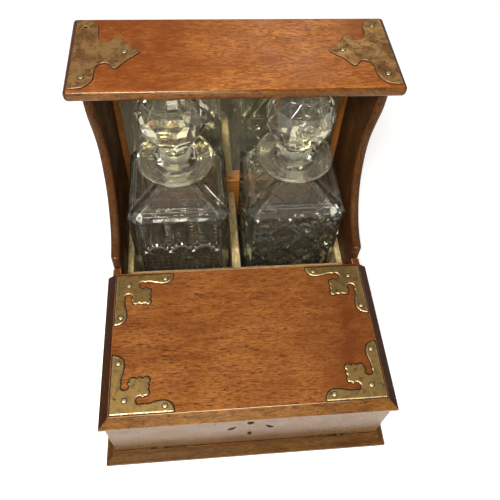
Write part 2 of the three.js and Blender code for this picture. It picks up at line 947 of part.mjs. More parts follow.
// Butt hinges: a leaf with the two outer knuckles and the pin, and one with the middle knuckle
function hingeLeaf(hinge, carriesPin) {
  const { length, radius, width, axis, towards, plateZ } = hinge;
  const third = length / 3;
  const reach = [axis.y, axis.y + towards * width].sort((a, b) => a - b);
  const knuckle = (from, to) =>
    rod(radius, [from, axis.y, axis.z], [to, axis.y, axis.z], knuckleSides);
  const clear = (from, to) =>
    rod(radius + seat, [from, axis.y, axis.z], [to, axis.y, axis.z], knuckleSides);
  const plate = block([-length / 2, length / 2], reach, plateZ);
  const inner = third / 2;
  if (carriesPin) {
    const trimmed = cut(plate, clear(-inner - seat, inner + seat));
    const pinEnd = inner + third / 2;
    const pin = rod(hingePinRadius, [-pinEnd, axis.y, axis.z], [pinEnd, axis.y, axis.z]);
    return join(
      trimmed,
      knuckle(-length / 2, -inner - seat),
      knuckle(inner + seat, length / 2),
      pin,
    );
  }
  const ends = [clear(-length, -inner), clear(inner, length)];
  const bore = rod(hingePinRadius + seat, [-length, axis.y, axis.z], [length, axis.y, axis.z]);
  return cut(join(cut(plate, ...ends), knuckle(-inner, inner)), bore);
}

const lidHinge = {
  length: lidHingeLength,
  radius: lidKnuckleRadius,
  width: lidLeafWidth,
  axis: lidAxis,
  towards: -1,
};
const footHinge = {
  length: footHingeLength,
  radius: footKnuckleRadius,
  width: footLeafWidth,
  axis: footAxis,
  towards: 1,
};

function addHingePair(name, hinge, place, zRange, carriesPin) {
  const leaf = hingeLeaf({ ...hinge, plateZ: zRange }, carriesPin);
  add(`${name}_left`, leaf.clone().translate(-place, 0, 0), 'brass');
  add(`${name}_right`, leaf.clone().translate(place, 0, 0), 'brass');
}

const lidLeafLowerZ = [boxTop - leafThickness, boxTop];
const lidLeafUpperZ = [lidLevel, lidLevel + leafThickness];
const footLeafLowerZ = [plinthHeight - leafThickness, plinthHeight];
const footLeafUpperZ = [boxFloorLevel, boxFloorLevel + leafThickness];
addHingePair('lid_hinge_box_leaf', lidHinge, lidHingePlace, lidLeafLowerZ, true);
addHingePair('lid_hinge_lid_leaf', lidHinge, lidHingePlace, lidLeafUpperZ, false);
addHingePair('foot_hinge_base_leaf', footHinge, footHingePlace, footLeafLowerZ, true);
addHingePair('foot_hinge_box_leaf', footHinge, footHingePlace, footLeafUpperZ, false);

// Lid: a panel chamfered on its front and ends, square along the hinges
function lidPanel() {
  const half = halfBody + lidOverhang;
  const front = -boxDepth - lidOverhang;
  const edgeTop = lidTop - lidChamferDrop;
  const ring = (inset, z) => [
    [-half + inset, front + inset, z],
    [half - inset, front + inset, z],
    [half - inset, 0, z],
    [-half + inset, 0, z],
  ];
  const panel = loft([ring(0, lidLevel), ring(0, edgeTop), ring(lidChamferRun, lidTop)]);
  const roomTop = lidLevel + leafThickness + seat;
  const hingeRoom = lidHinges.flatMap((place) => [
    lidGroove(place),
    lidLeafRoom(place, lidLevel - overrun, roomTop),
  ]);
  const middle = (stapleX[0] + stapleX[1]) / 2;
  const keeperRoom = block(
    [middle - keeperWidth / 2 - seat, middle + keeperWidth / 2 + seat],
    [lockMiddle - lockDepth / 2 - seat, lockMiddle + lockDepth / 2 + seat],
    [lidLevel - overrun, roomTop],
  );
  return cut(panel, ...hingeRoom, keeperRoom);
}

add('lid_panel', lidPanel(), 'oak');

// A thin plate with its upper edge bevelled, cut from an outline
function bevelledPlate(shape) {
  const plate = new THREE.ExtrudeGeometry(shape, {
    depth: mountThickness - mountBevel,
    bevelThickness: mountBevel,
    bevelSize: mountBevel,
    bevelOffset: -mountBevel,
    bevelSegments: 1,
    curveSegments: 5,
  });
  return overlapOf(
    plate,
    block(
      [-topWidth, topWidth],
      [-topWidth, topWidth],
      [0, mountThickness],
    ),
  );
}

// A low domed head of a pin, sunk a little into its plate
function pinHead(x, y) {
  const rise = mountPinRise + mountThickness / 2;
  const outline = [0, 1, 2].map((step) => {
    const angle = (step * Math.PI) / 4;
    return [mountPinRadius * Math.cos(angle), mountThickness / 2 + rise * Math.sin(angle)];
  });
  outline[2][0] = 0;
  const head = turned([[0, mountThickness / 2], ...outline], pinSides);
  return head.translate(x, y, 0);
}

// Half of a corner mount, as shares of its arm, from the tip of the arm to the leaf
const armShares = [
  [1, 0.03],
  [0.985, 0.09],
  [0.93, 0.16],
  [0.84, 0.19],
  [0.7, 0.175],
  [0.6, 0.15],
  [0.53, 0.145],
];
const notchShares = { x: 0.465, y: 0.215, radius: 0.075, from: -0.3, to: -1.75 };
const leafShares = [
  [0.53, 0.285],
  [0.585, 0.3],
  [0.606, 0.355],
  [0.58, 0.405],
  [0.608, 0.455],
  [0.583, 0.5],
  [0.611, 0.545],
  [0.598, 0.58],
];

function cornerMount() {
  const { x, y, radius, from, to } = notchShares;
  const notch = [0, 1, 2, 3, 4, 5].map((step) => {
    const angle = Math.PI * (from + ((to - from) * step) / 5);
    return [x + radius * Math.cos(angle), y + radius * Math.sin(angle)];
  });
  const arm = new THREE.SplineCurve(armShares.map(([u, v]) => new THREE.Vector2(u, v)));
  const leaf = new THREE.SplineCurve(leafShares.map(([u, v]) => new THREE.Vector2(u, v)));
  const half = [
    [1, 0],
    ...arm.getPoints(9).map((point) => point.toArray()),
    ...notch,
    ...leaf.getPoints(11).map((point) => point.toArray()),
  ];
  const other = half.map(([u, v]) => [v, u]).reverse();
  const points = [[0, 0], ...half, ...other].map(
    ([u, v]) => new THREE.Vector2(u * lidMountArm, v * lidMountArm),
  );
  const plate = bevelledPlate(new THREE.Shape(points));
  const pinShares = [
    [0.22, 0.22],
    [0.86, 0.1],
    [0.1, 0.86],
  ];
  return join(plate, ...pinShares.map(([u, v]) => pinHead(u * lidMountArm, v * lidMountArm)));
}

// The plates lie on the flat of the lid, each turned into its own corner
function addLidMounts() {
  const x = halfBody + lidOverhang - lidChamferRun - lidMountInset;
  const front = -boxDepth - lidOverhang + lidChamferRun + lidMountInset;
  const level = lidTop + seat;
  const plate = cornerMount();
  const frontLeft = plate.clone().translate(-x, front, level);
  const backLeft = plate
    .clone()
    .rotateZ(-Math.PI / 2)
    .translate(-x, -lidMountInset * 2, level);
  addPair('lid_mount_front', frontLeft, 'brass');
  addPair('lid_mount_back', backLeft, 'brass');
}

addLidMounts();

// Half of an end mount as shares: inwards by the tongue's length, along by half the span
const endMountShares = [
  [0.02, 1],
  [0.1, 1],
  [0.22, 0.96],
  [0.3, 0.86],
  [0.345, 0.75],
  [0.35, 0.6],
  [0.355, 0.48],
  [0.4, 0.37],
  [0.47, 0.31],
  [0.54, 0.32],
  [0.59, 0.4],
  [0.64, 0.46],
  [0.7, 0.42],
  [0.76, 0.31],
  [0.84, 0.2],
  [0.93, 0.1],
  [1, 0],
];

const topMountSpan = topDepth - topMountEdge * 2;

function endMount(openHole) {
  const knots = endMountShares.map(([inwards, along]) => new THREE.Vector2(inwards, along));
  const half = new THREE.SplineCurve(knots).getPoints(28).map((point) => point.toArray());
  const other = half.slice(0, -1).map(([inwards, along]) => [inwards, -along]);
  const points = [[0, -1], ...other, ...half.reverse(), [0, 1]].map(
    ([inwards, along]) =>
      new THREE.Vector2(inwards * topMountTongue, (along * topMountSpan) / 2),
  );
  const plate = bevelledPlate(new THREE.Shape(points));
  const pinShares = [
    [0.78, 0],
    [0.18, -0.72],
    [0.18, 0.74],
  ];
  const heads = pinShares.map(([inwards, along]) => [
    inwards * topMountTongue,
    (along * topMountSpan) / 2,
  ]);
  const pinned = openHole ? heads.slice(0, 2) : heads;
  const body = join(plate, ...pinned.map(([x, y]) => pinHead(x, y)));
  if (!openHole) {
    return body;
  }
  const [x, y] = heads[2];
  return cut(body, rod(mountHoleRadius, [x, y, -overrun], [x, y, overrun]));
}

function addTopMounts() {
  const x = topWidth / 2 - topMountInset;
  const middle = bayDepth + topOverhangBack - topDepth / 2;
  const left = endMount(true).translate(-x, middle, topLevel + seat);
  const right = mirrored(endMount(false).translate(-x, middle, topLevel + seat));
  add('top_mount_left', left, 'copper');
  add('top_mount_right', right, 'copper');
}

addTopMounts();

// Decanters: square bottles with cut corners, a sloping shoulder and a wide flat lip
const vGroove = (from, to) => rod(grooveDepth * Math.SQRT2, from, to, 4);

// Cuts on the front face: upright grooves, crossing slants and a row of thumbprints
function faceCuts(columns, slants, slantHead) {
  const face = -decanterHalf;
  const half = decanterHalf - decanterCorner;
  const pitch = (2 * half) / columns;
  const cuts = [];
  for (let i = 0; i <= columns; i += 1) {
    const x = -half + pitch * i;
    cuts.push(vGroove([x, face, cutBandFoot], [x, face, cutBandTop]));
  }
  cuts.push(vGroove([-half, face, cutBandTop], [half, face, cutBandTop]));
  const rise = (slantHead - cutBandFoot) / slants;
  for (let i = 0; i < slants; i += 1) {
    const z = cutBandFoot + rise * i;
    cuts.push(vGroove([-half, face, z], [half, face, z + rise]));
    cuts.push(vGroove([half, face, z], [-half, face, z + rise]));
  }
  for (let i = 0; i < columns; i += 1) {
    const dish = new THREE.SphereGeometry(thumbprintRadius, 10, 6);
    const x = -half + pitch * (i + 0.5);
    const centreY = face - thumbprintRadius + thumbprintDepth;
    cuts.push(dish.translate(x, centreY, thumbprintLevel));
  }
  return cuts;
}

function decanterShell() {
  const body = loft([
    cutSquare(decanterHalf - decanterFootBevel, decanterCorner, 0),
    cutSquare(decanterHalf, decanterCorner, decanterFootBevel),
    cutSquare(decanterHalf, decanterCorner, decanterShoulder),
    cutSquare(decanterHalf - shoulderBevel / 2, decanterCorner, decanterShoulder + shoulderBevel),
    cutSquare(neckRadius + shoulderBevel / 2, decanterCorner, shoulderTop),
  ]);
  const lipEdge = (lipTop - lipUnderside) / 6;
  const neck = turned([
    [0, decanterShoulder],
    [neckRadius, decanterShoulder],
    [neckRadius, lipUnderside - lipEdge * 2],
    [neckRadius + lipEdge * 2, lipUnderside],
    [lipRadius - lipEdge * 2, lipUnderside + lipEdge * 2],
    [lipRadius, lipUnderside + lipEdge * 3.5],
    [lipRadius, lipTop - lipEdge],
    [lipRadius - lipEdge, lipTop],
    [0, lipTop],
  ]);
  return join(body, neck);
}

function decanterCavity() {
  const half = decanterHalf - glassWall;
  const room = loft([
    cutSquare(half - decanterFootBevel, decanterCorner, cavityFloor),
    cutSquare(half, decanterCorner, cavityFloor + decanterFootBevel),
    cutSquare(half, decanterCorner, decanterShoulder - shoulderBevel),
    cutSquare(boreRadius, decanterCorner / 2, shoulderTop - shoulderBevel),
  ]);
  const bore = turned([
    [0, decanterShoulder],
    [boreRadius, decanterShoulder],
    [boreRadius, lipTop + overrun],
    [0, lipTop + overrun],
  ]);
  return join(room, bore);
}

function decanter(columns, slants, slantHead) {
  const cuts = [0, 1, 2, 3].flatMap((quarter) =>
    faceCuts(columns, slants, slantHead).map((tool) => tool.rotateZ((quarter * Math.PI) / 2)),
  );
  return cut(decanterShell(), decanterCavity(), ...cuts);
}

const slantTop = thumbprintLevel - thumbprintRadius;

add(
  'decanter_left',
  decanter(3, 2, slantTop).translate(-decanterPlace, decanterSetback, decanterFoot),
  'glass',
);
add(
  'decanter_right',
  decanter(2, 2, cutBandTop).translate(decanterPlace, decanterSetback, decanterFoot),
  'glass',
);

// Stoppers: a ground plug, a collar cut in flats and a ball cut all over in facets
function facetedBall(around) {
  const tilts = [-62, -38, -13, 13, 38, 62, 80].map((degrees) => (degrees * Math.PI) / 180);
  const points = [];
  tilts.forEach((tilt, row) => {
    for (let i = 0; i < around; i += 1) {
      const turn = (2 * Math.PI * (i + (row % 2) / 2)) / around;
      const radius = ballRadius * Math.cos(tilt);
      const z = ballRadius * Math.sin(tilt);
      points.push(new THREE.Vector3(radius * Math.cos(turn), radius * Math.sin(turn), z));
    }
  });
  return new ConvexGeometry(points).translate(0, 0, ballCentre);
}

function stopper(around) {
  const plug = turned([
    [0, -plugLength],
    [plugTip, -plugLength],
    [plugRadius, -seat],
    [plugRadius, seat],
    [0, seat],
  ]);
  const ballFoot = ballCentre - ballRadius;
  const collar = turned(
    [
      [0, 0],
      [collarRadius, 0],
      [collarRadius, ballFoot / 5],
      [stopperNeck, ballFoot * 0.8],
      [stopperNeck, ballCentre - ballRadius * 0.75],
      [0, ballCentre - ballRadius * 0.75],
    ],
    around,
  );
  return join(plug, collar, facetedBall(around));
}

add(
  'stopper_left',
  stopper(10).translate(-decanterPlace, decanterSetback, stopperFoot),
  'glass',
);
add(
  'stopper_right',
  stopper(10).translate(decanterPlace, decanterSetback, stopperFoot),
  'glass',
);

export default group;
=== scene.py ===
# %% [markdown]
# # Dressing a games tantalus
# A games tantalus locks two spirit decanters up with a box of games. Its solids come from a CAD
# model in metres. This notebook gives them wood, brass, cut glass and a mirror, one piece at a time.
# Where a solid is too plain, a finer piece is modelled in the same place and stands for it.

import json
from math import atan2, cos, pi, radians, sin, sqrt

import bmesh
import bpy
from mathutils import Matrix, Vector

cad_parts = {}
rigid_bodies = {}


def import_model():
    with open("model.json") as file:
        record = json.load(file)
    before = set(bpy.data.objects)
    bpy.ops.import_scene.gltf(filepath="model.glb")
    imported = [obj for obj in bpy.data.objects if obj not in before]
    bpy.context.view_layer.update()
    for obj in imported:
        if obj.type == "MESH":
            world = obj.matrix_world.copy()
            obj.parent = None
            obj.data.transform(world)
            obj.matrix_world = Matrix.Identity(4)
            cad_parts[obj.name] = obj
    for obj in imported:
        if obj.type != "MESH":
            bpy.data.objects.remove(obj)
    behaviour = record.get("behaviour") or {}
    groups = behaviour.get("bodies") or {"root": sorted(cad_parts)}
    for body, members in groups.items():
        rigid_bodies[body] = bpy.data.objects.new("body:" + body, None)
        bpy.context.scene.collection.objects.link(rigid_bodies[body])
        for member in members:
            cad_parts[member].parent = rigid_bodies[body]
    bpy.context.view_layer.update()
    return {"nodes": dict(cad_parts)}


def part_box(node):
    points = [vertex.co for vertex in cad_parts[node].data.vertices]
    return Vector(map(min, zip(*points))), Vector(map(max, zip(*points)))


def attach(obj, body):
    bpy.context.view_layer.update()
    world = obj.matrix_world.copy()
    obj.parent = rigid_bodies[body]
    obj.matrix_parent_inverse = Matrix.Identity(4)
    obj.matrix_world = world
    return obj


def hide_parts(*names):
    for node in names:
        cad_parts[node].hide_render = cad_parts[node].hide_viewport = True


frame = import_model()
nodes = frame["nodes"]
MM = 0.001
print("solids:", len(nodes))

# %% [markdown]
# ## The camera
# The photograph looks down steeply from in front, a little to the left, and slightly tilted. The
# place, the turn and the lens were fitted to the corners of the lid, the plinth and the top board.
# A small shift puts the lens axis where the picture's cropping left it.

# %% Camera
EYE = (-0.0300, -0.2663, 0.4892)
YAW, PITCH_DOWN, ROLL = radians(9.23), radians(56.52), radians(-5.10)
LENS, SHIFT = 38.89, (-0.0082, 0.0404)


def photograph_camera():
    forward = Vector((sin(YAW) * cos(PITCH_DOWN), cos(YAW) * cos(PITCH_DOWN), -sin(PITCH_DOWN)))
    level_right = Vector((cos(YAW), -sin(YAW), 0))
    level_down = forward.cross(level_right)
    right = level_right * cos(ROLL) + level_down * sin(ROLL)
    down = level_down * cos(ROLL) - level_right * sin(ROLL)
    data = bpy.data.cameras.new("photograph_camera")
    data.sensor_width = 36
    data.lens = LENS
    data.shift_x, data.shift_y = SHIFT
    data.clip_start = 0.01
    camera = bpy.data.objects.new("photograph_camera", data)
    turn = Matrix((right, -down, -forward)).transposed().to_4x4()
    camera.matrix_world = Matrix.Translation(EYE) @ turn
    bpy.context.scene.collection.objects.link(camera)
    bpy.context.scene.camera = camera
    return camera


camera = photograph_camera()
print("camera at", tuple(round(v, 3) for v in camera.matrix_world.translation))

# %% [markdown]
# ## Helpers for materials
# Every finish here is a small tree of nodes around one Principled shader. One helper adds a node,
# sets its plain inputs and links the others, so each recipe below reads from top to bottom. The
# patterns are noises in the object's own coordinates, so they stay on a piece when it moves.

# %% Material helpers


def new_material(name):
    material = bpy.data.materials.new(name)
    material.use_nodes = True
    return material, material.node_tree, material.node_tree.nodes["Principled BSDF"]


def add_node(tree, kind, inputs=(), **settings):
    made = tree.nodes.new("ShaderNode" + kind)
    for key, value in settings.items():
        setattr(made, key, value)
    for key, value in dict(inputs).items():
        if isinstance(value, bpy.types.NodeSocket):
            tree.links.new(value, made.inputs[key])
        else:
            made.inputs[key].default_value = value
    return made


def worked_out(tree, operation, first, second=0.0):
    """One sum on one or two values."""
    return add_node(tree, "Math", {0: first, 1: second}, operation=operation).outputs[0]


def stretched_place(tree, scale=(1, 1, 1)):
    """The point on the object, stretched so that a pattern runs long in one direction."""
    place = add_node(tree, "TexCoord").outputs["Object"]
    return add_node(tree, "Mapping", {"Vector": place, "Scale": scale}).outputs[0]


def noise(tree, place, scale, detail=3.0, rough=0.55, distortion=0.0):
    inputs = {"Vector": place, "Scale": scale, "Detail": detail, "Roughness": rough}
    return add_node(tree, "TexNoise", {**inputs, "Distortion": distortion}).outputs[0]


def between(tree, value, low, high, to_low=0.0, to_high=1.0):
    """Spreads the part of a pattern between low and high over a new range."""
    limits = {"Value": value, "From Min": low, "From Max": high, "To Min": to_low, "To Max": to_high}
    return add_node(tree, "MapRange", limits).outputs[0]


def mixed(tree, amount, first, second):
    made = add_node(tree, "Mix", data_type="RGBA")
    for place, value in ((0, amount), (6, first), (7, second)):
        if isinstance(value, bpy.types.NodeSocket):
            tree.links.new(value, made.inputs[place])
        elif isinstance(value, tuple):
            made.inputs[place].default_value = (*value, 1)
        else:
            made.inputs[place].default_value = value
    return made.outputs[2]


def bumped(tree, shader, height, distance, strength=0.6):
    made = add_node(tree, "Bump", {"Height": height, "Distance": distance, "Strength": strength})
    tree.links.new(made.outputs[0], shader.inputs["Normal"])


def shaded(tone, shares):
    """A tone with its red, green and blue each turned up or down."""
    return tuple(share * c for share, c in zip(shares, tone))


print("half as bright:", shaded((0.4, 0.2, 0.1), (0.5, 0.5, 0.5)))

# %% [markdown]
# ## Wood
# The case is oak. Seen close, a board is many thin fibres that run one way, short dark pores along
# them, slow changes of tone from end to end and, on quarter-sawn boards, wavy flecks that catch the
# light. An image of a board would repeat and stretch. Here each of these is one noise, drawn out
# along the grain, so the same recipe serves every board, with its own way of the grain and tones.

# %% Wood recipe
GRAIN_WAY = {"x": 0, "y": 1, "z": 2}
DARK_WOOD, PALE_WOOD, PORE, GOLDEN, OLD_WAX_AND_SHADE = (
    (0.50, 0.38, 0.32), (1.30, 1.45, 1.60), (0.18, 0.13, 0.14), (1.16, 1.30, 0.95), (0.42, 0.28, 0.25))
GRIME_COLOUR, RUBBED_AND_HIGHLIGHT_COLOUR = (0.030, 0.019, 0.010), (0.95, 0.84, 0.60)


def grained(tree, grain, share, scale, detail, rough=0.55, distortion=0.0):
    """A noise that runs long in the grain's direction: the smaller the share, the longer."""
    stretch = tuple(share if axis == GRAIN_WAY[grain] else 1.0 for axis in range(3))
    return noise(tree, stretched_place(tree, stretch), scale, detail, rough, distortion)


def figured(tree, grain, tone, streak, pores, flecks):
    """The clean board's colour, and the pattern of its pores."""
    dark = shaded(tone, DARK_WOOD)
    fibre = grained(tree, grain, 0.17, 820, 4, 0.75, 1.3)
    colour = mixed(tree, between(tree, fibre, 0.36, 0.50, streak, 0), tone, shaded(tone, PALE_WOOD))
    colour = mixed(tree, between(tree, fibre, 0.48, 0.66, 0, streak), colour, dark)
    bands = grained(tree, grain, 0.12, 80, 3, 0.6, 1.2)
    colour = mixed(tree, between(tree, bands, 0.45, 0.68, 0, streak * 0.7), colour, dark)
    gold = grained(tree, grain, 0.4, 110, 4, 0.65, 0.8)
    colour = mixed(tree, between(tree, gold, 0.48, 0.68, 0, streak * 0.6), colour, shaded(tone, GOLDEN))
    dashes = grained(tree, grain, 0.18, 1050, 2.5, 0.6, 0.9)
    colour = mixed(tree, between(tree, dashes, 0.52, 0.62, 0, pores), colour, shaded(tone, PORE))
    if flecks:
        ribbons = grained(tree, grain, 0.3, 150, 2, 0.5, 2.6)
        colour = mixed(tree, between(tree, ribbons, 0.545, 0.58, 0, flecks), colour, dark)
    cloud = noise(tree, stretched_place(tree), 28, 3, 0.5)
    return mixed(tree, between(tree, cloud, 0.4, 0.7, 0, 0.45), colour, dark), dashes


def wood(name, grain, tone, streak=0.8, pores=0.5, flecks=0.0, rough=0.34, dirt=0.0, gloss=0.4,
         bump=0.35, rubbed_and_lit=0.0, wax_and_shade_from=0.0, lean=0.0):
    """Tone is the clean wood's colour. Streaks, pores and flecks are darker by the shares given.
    Rubbing is how far out, left and right, an arris turns pale, which is wear and a painted highlight.
    Waxing sets where the ends begin to darken, with old wax and painted shade, measured from a middle
    that leans to one side."""
    material, tree, shader = new_material(name)
    colour, dashes = figured(tree, grain, tone, streak, pores, flecks)
    if dirt:
        grime = grained(tree, grain, 0.4, 240, 5, 0.72)
        colour = mixed(tree, between(tree, grime, 0.47, 0.64, 0, dirt), colour, GRIME_COLOUR)
    across = add_node(tree, "SeparateXYZ", {0: stretched_place(tree)}).outputs[0]
    aside = worked_out(tree, "ABSOLUTE", worked_out(tree, "SUBTRACT", across, lean))
    # Darker ends: patches of old wax and painted shade.
    if wax_and_shade_from:
        patches = noise(tree, stretched_place(tree), 55, 4, 0.6, 0.8)
        near_end = between(tree, aside, wax_and_shade_from, wax_and_shade_from + 0.035, 0, 0.9)
        wax_and_shade = worked_out(tree, "MULTIPLY", between(tree, patches, 0.38, 0.6, 0.5, 1), near_end)
        colour = mixed(tree, wax_and_shade, colour, shaded(tone, OLD_WAX_AND_SHADE))
    # The pale middle of an arris: wear and a painted highlight.
    if rubbed_and_lit:
        colour = mixed(tree, between(tree, aside, rubbed_and_lit * 0.3, rubbed_and_lit, 0.9, 0), colour, RUBBED_AND_HIGHLIGHT_COLOUR)
    tree.links.new(colour, shader.inputs["Base Color"])
    polish = noise(tree, stretched_place(tree), 45, 3)
    roughness = between(tree, polish, 0.3, 0.7, rough * 0.8, rough * 1.3)
    tree.links.new(roughness, shader.inputs["Roughness"])
    shader.inputs["Specular IOR Level"].default_value = gloss
    shader.inputs["Specular Tint"].default_value = (1, 0.78, 0.52, 1)
    bumped(tree, shader, dashes, 0.00012, bump)
    return material


print("grain can run along:", ", ".join(GRAIN_WAY))

# %% [markdown]
# ### The woods of the stand
# The lid and the top board are waxed, red-gold and darker towards their ends, which is old wax and
# painted shade. The uprights and the mouldings are dark with dirt. Inside, the wood was never stained,
# and it is made paler still as painted light. One board has several finishes: its face, its end grain,
# which drinks more stain, and its arrises, which hands rub pale and which carry a painted highlight as
# well.

# %% Woods of the lid and the top board
lid_oak = wood("lid_oak", "x", (0.292, 0.103, 0.026), 0.9, 0.8, gloss=0.3, wax_and_shade_from=0.07, lean=-0.02)
lid_chamfer_oak = wood("lid_chamfer_oak", "x", (0.205, 0.083, 0.019), 1.0, 0.8, dirt=0.5, rough=0.26)
lid_end_oak = wood("lid_end_oak", "y", (0.045, 0.015, 0.006), 0.8, 0.5, rough=0.35, gloss=0.08)
# The lid's front arris: pale in the middle, partly worn and partly a painted highlight.
bright_arris = wood("bright_arris", "x", (0.30, 0.125, 0.034), 0.7, 0.3, rough=0.3, gloss=0.8,
                    rubbed_and_lit=0.085)
top_oak = wood("top_oak", "x", (0.46, 0.160, 0.034), 0.95, 0.8, 0.8, gloss=0.3, wax_and_shade_from=0.05, lean=0.03)
# Painted shade, with some dirt: the darker finish of the round where it turns away from the top.
top_edge_oak = wood("top_edge_oak", "x", (0.17, 0.062, 0.014), 0.9, 0.8, dirt=0.6, rough=0.2)
top_end_oak = wood("top_end_oak", "y", (0.075, 0.027, 0.010), 0.8, 0.5, rough=0.35, gloss=0.15)
print("lid and top board:", lid_oak.name, lid_chamfer_oak.name, bright_arris.name, top_oak.name)

# %% [markdown]
# The carcass and the games box come from the same recipe with quieter tones. The box front is
# veneer under thick old polish, so its grain hardly shows and it mirrors the room as a pale glare.

# %% Woods of the carcass and the games box
UPRIGHT_GRAIN = {"streak": 1.0, "pores": 0.9}
MOULDED = {"streak": 0.9, "pores": 0.7, "dirt": 0.5, "gloss": 0.12}
upright_oak = wood("upright_oak", "z", (0.095, 0.036, 0.011), **UPRIGHT_GRAIN, rough=0.5, dirt=0.5,
                   gloss=0.12)
upright_face_oak = wood("upright_face_oak", "z", (0.135, 0.046, 0.011), **UPRIGHT_GRAIN, rough=0.2,
                        dirt=0.4, gloss=0.5)
front_moulding_oak = wood("front_moulding_oak", "x", (0.110, 0.046, 0.010), **MOULDED)
side_moulding_oak = wood("side_moulding_oak", "y", (0.110, 0.046, 0.010), **MOULDED)
moulding_arris = wood("moulding_arris", "x", (0.16, 0.07, 0.02), 0.9, 0.7, dirt=0.6, gloss=0.15)
dim_oak = wood("dim_oak", "x", (0.115, 0.050, 0.017), 1.0, 0.9, 0.4, rough=0.5, dirt=0.35, gloss=0.12)
rail_oak = wood("rail_oak", "x", (0.52, 0.21, 0.045), 0.8, 0.6)
bead_oak = wood("bead_oak", "z", (0.30, 0.12, 0.028), 0.8, 0.4, rough=0.2, gloss=0.5)
# Pale arrises: worn, and partly a painted highlight.
worn_arris = wood("worn_arris", "x", (0.56, 0.34, 0.15), 0.7, 0.3, rough=0.2, gloss=0.8)
front_oak = wood("front_oak", "x", (0.125, 0.062, 0.022), 0.07, 0.03, rough=0.27, gloss=0.42, bump=0)
box_side_oak = wood("box_side_oak", "y", (0.17, 0.062, 0.018), 0.9, 0.7, rough=0.42, gloss=0.15)
# Pale unstained wood, made brighter still as painted light for the shaded wells.
bare_wood = wood("bare_wood", "y", (0.68, 0.53, 0.28), 0.8, 0.6, rough=0.6, dirt=0.5)
batten_wood = wood("batten_wood", "x", (0.42, 0.27, 0.12), 0.9, 0.6, rough=0.6, dirt=0.2)
partition_wood = wood("partition_wood", "x", (0.40, 0.29, 0.16), 0.5, 0.4, rough=0.5)
floor_wood = wood("floor_wood", "x", (0.13, 0.07, 0.033), 0.6, 0.4, rough=0.6)
print("woods:", sum(m.name.endswith(("oak", "wood", "arris")) for m in bpy.data.materials))

# %% [markdown]
# ## Brass and steel
# The lid's mounts are old brass: gold where hands polish it, olive and brown where they don't. The
# top board's mounts have gone a copper brown. A plain metal would look new. A noise mixes two tones,
# the same noise makes the dull places rougher, and a finer one adds dark stains and small pits.

# %% Metals


def metal(name, bright, dull, stain, rough, scale=160, stained=(0.54, 0.66)):
    material, tree, shader = new_material(name)
    mottle = noise(tree, stretched_place(tree), scale, 5, 0.7, 0.6)
    colour = mixed(tree, between(tree, mottle, 0.40, 0.60), bright, dull)
    specks = noise(tree, stretched_place(tree), scale * 3.1, 5, 0.75, 0.5)
    colour = mixed(tree, between(tree, specks, *stained, 0, 0.9), colour, stain)
    tree.links.new(colour, shader.inputs["Base Color"])
    shader.inputs["Metallic"].default_value = 1
    roughness = between(tree, mottle, 0.3, 0.7, rough, rough * 1.8)
    tree.links.new(roughness, shader.inputs["Roughness"])
    bumped(tree, shader, specks, 0.00008, 0.5)
    return material


old_brass = metal("old_brass", (0.86, 0.54, 0.18), (0.37, 0.25, 0.105), (0.13, 0.07, 0.03), 0.34, 60,
                  (0.53, 0.68))
copper_brown = metal("copper_brown", (1.0, 0.58, 0.22), (0.34, 0.17, 0.072), (0.17, 0.085, 0.045),
                     0.42, 70)
filed_brass = metal("filed_brass", (0.74, 0.57, 0.31), (0.42, 0.29, 0.14), (0.2, 0.12, 0.06), 0.38, 240)
filed_copper = metal("filed_copper", (0.74, 0.50, 0.29), (0.38, 0.22, 0.11), (0.2, 0.12, 0.06), 0.42,
                     240)
pin_brass = metal("pin_brass", (0.86, 0.74, 0.48), (0.55, 0.43, 0.23), (0.16, 0.10, 0.05), 0.40, 700,
                  (0.60, 0.7))
dark_brass = metal("dark_brass", (0.12, 0.07, 0.03), (0.05, 0.03, 0.015), (0.02, 0.013, 0.008), 0.6)
lock_brass = metal("lock_brass", (0.78, 0.55, 0.25), (0.52, 0.34, 0.14), (0.14, 0.08, 0.035), 0.24)
grey_steel = metal("grey_steel", (0.50, 0.49, 0.46), (0.28, 0.265, 0.24), (0.10, 0.06, 0.035), 0.34)
print("metals:", [m.name for m in (old_brass, copper_brown, pin_brass, dark_brass, grey_steel)])

# %% [markdown]
# ## Old dirt and the mirror
# Polish and dust gather in a dark line round every mount, which makes the brass stand out, and the same
# dark material also paints the shadow at a plate's edge, under each pin and in holes. The mirror is
# silvered glass that has turned grey-green, with small dark spots where the silver is gone, and it is
# darker to the right, which is painted shade. A metallic shader with very little roughness gives the
# reflection.

# %% Dirt, painted shade and mirror


# One dark material for dirt and for painted shade: in holes, under pins and round the plates.
def old_dirt():
    material, tree, shader = new_material("old_dirt")
    crumbs = noise(tree, stretched_place(tree), 700, 3, 0.6)
    colour = mixed(tree, between(tree, crumbs, 0.4, 0.65), (0.018, 0.011, 0.007), (0.05, 0.03, 0.017))
    tree.links.new(colour, shader.inputs["Base Color"])
    shader.inputs["Roughness"].default_value = 0.8
    shader.inputs["Specular IOR Level"].default_value = 0.08
    bumped(tree, shader, crumbs, 0.0002, 0.6)
    return material


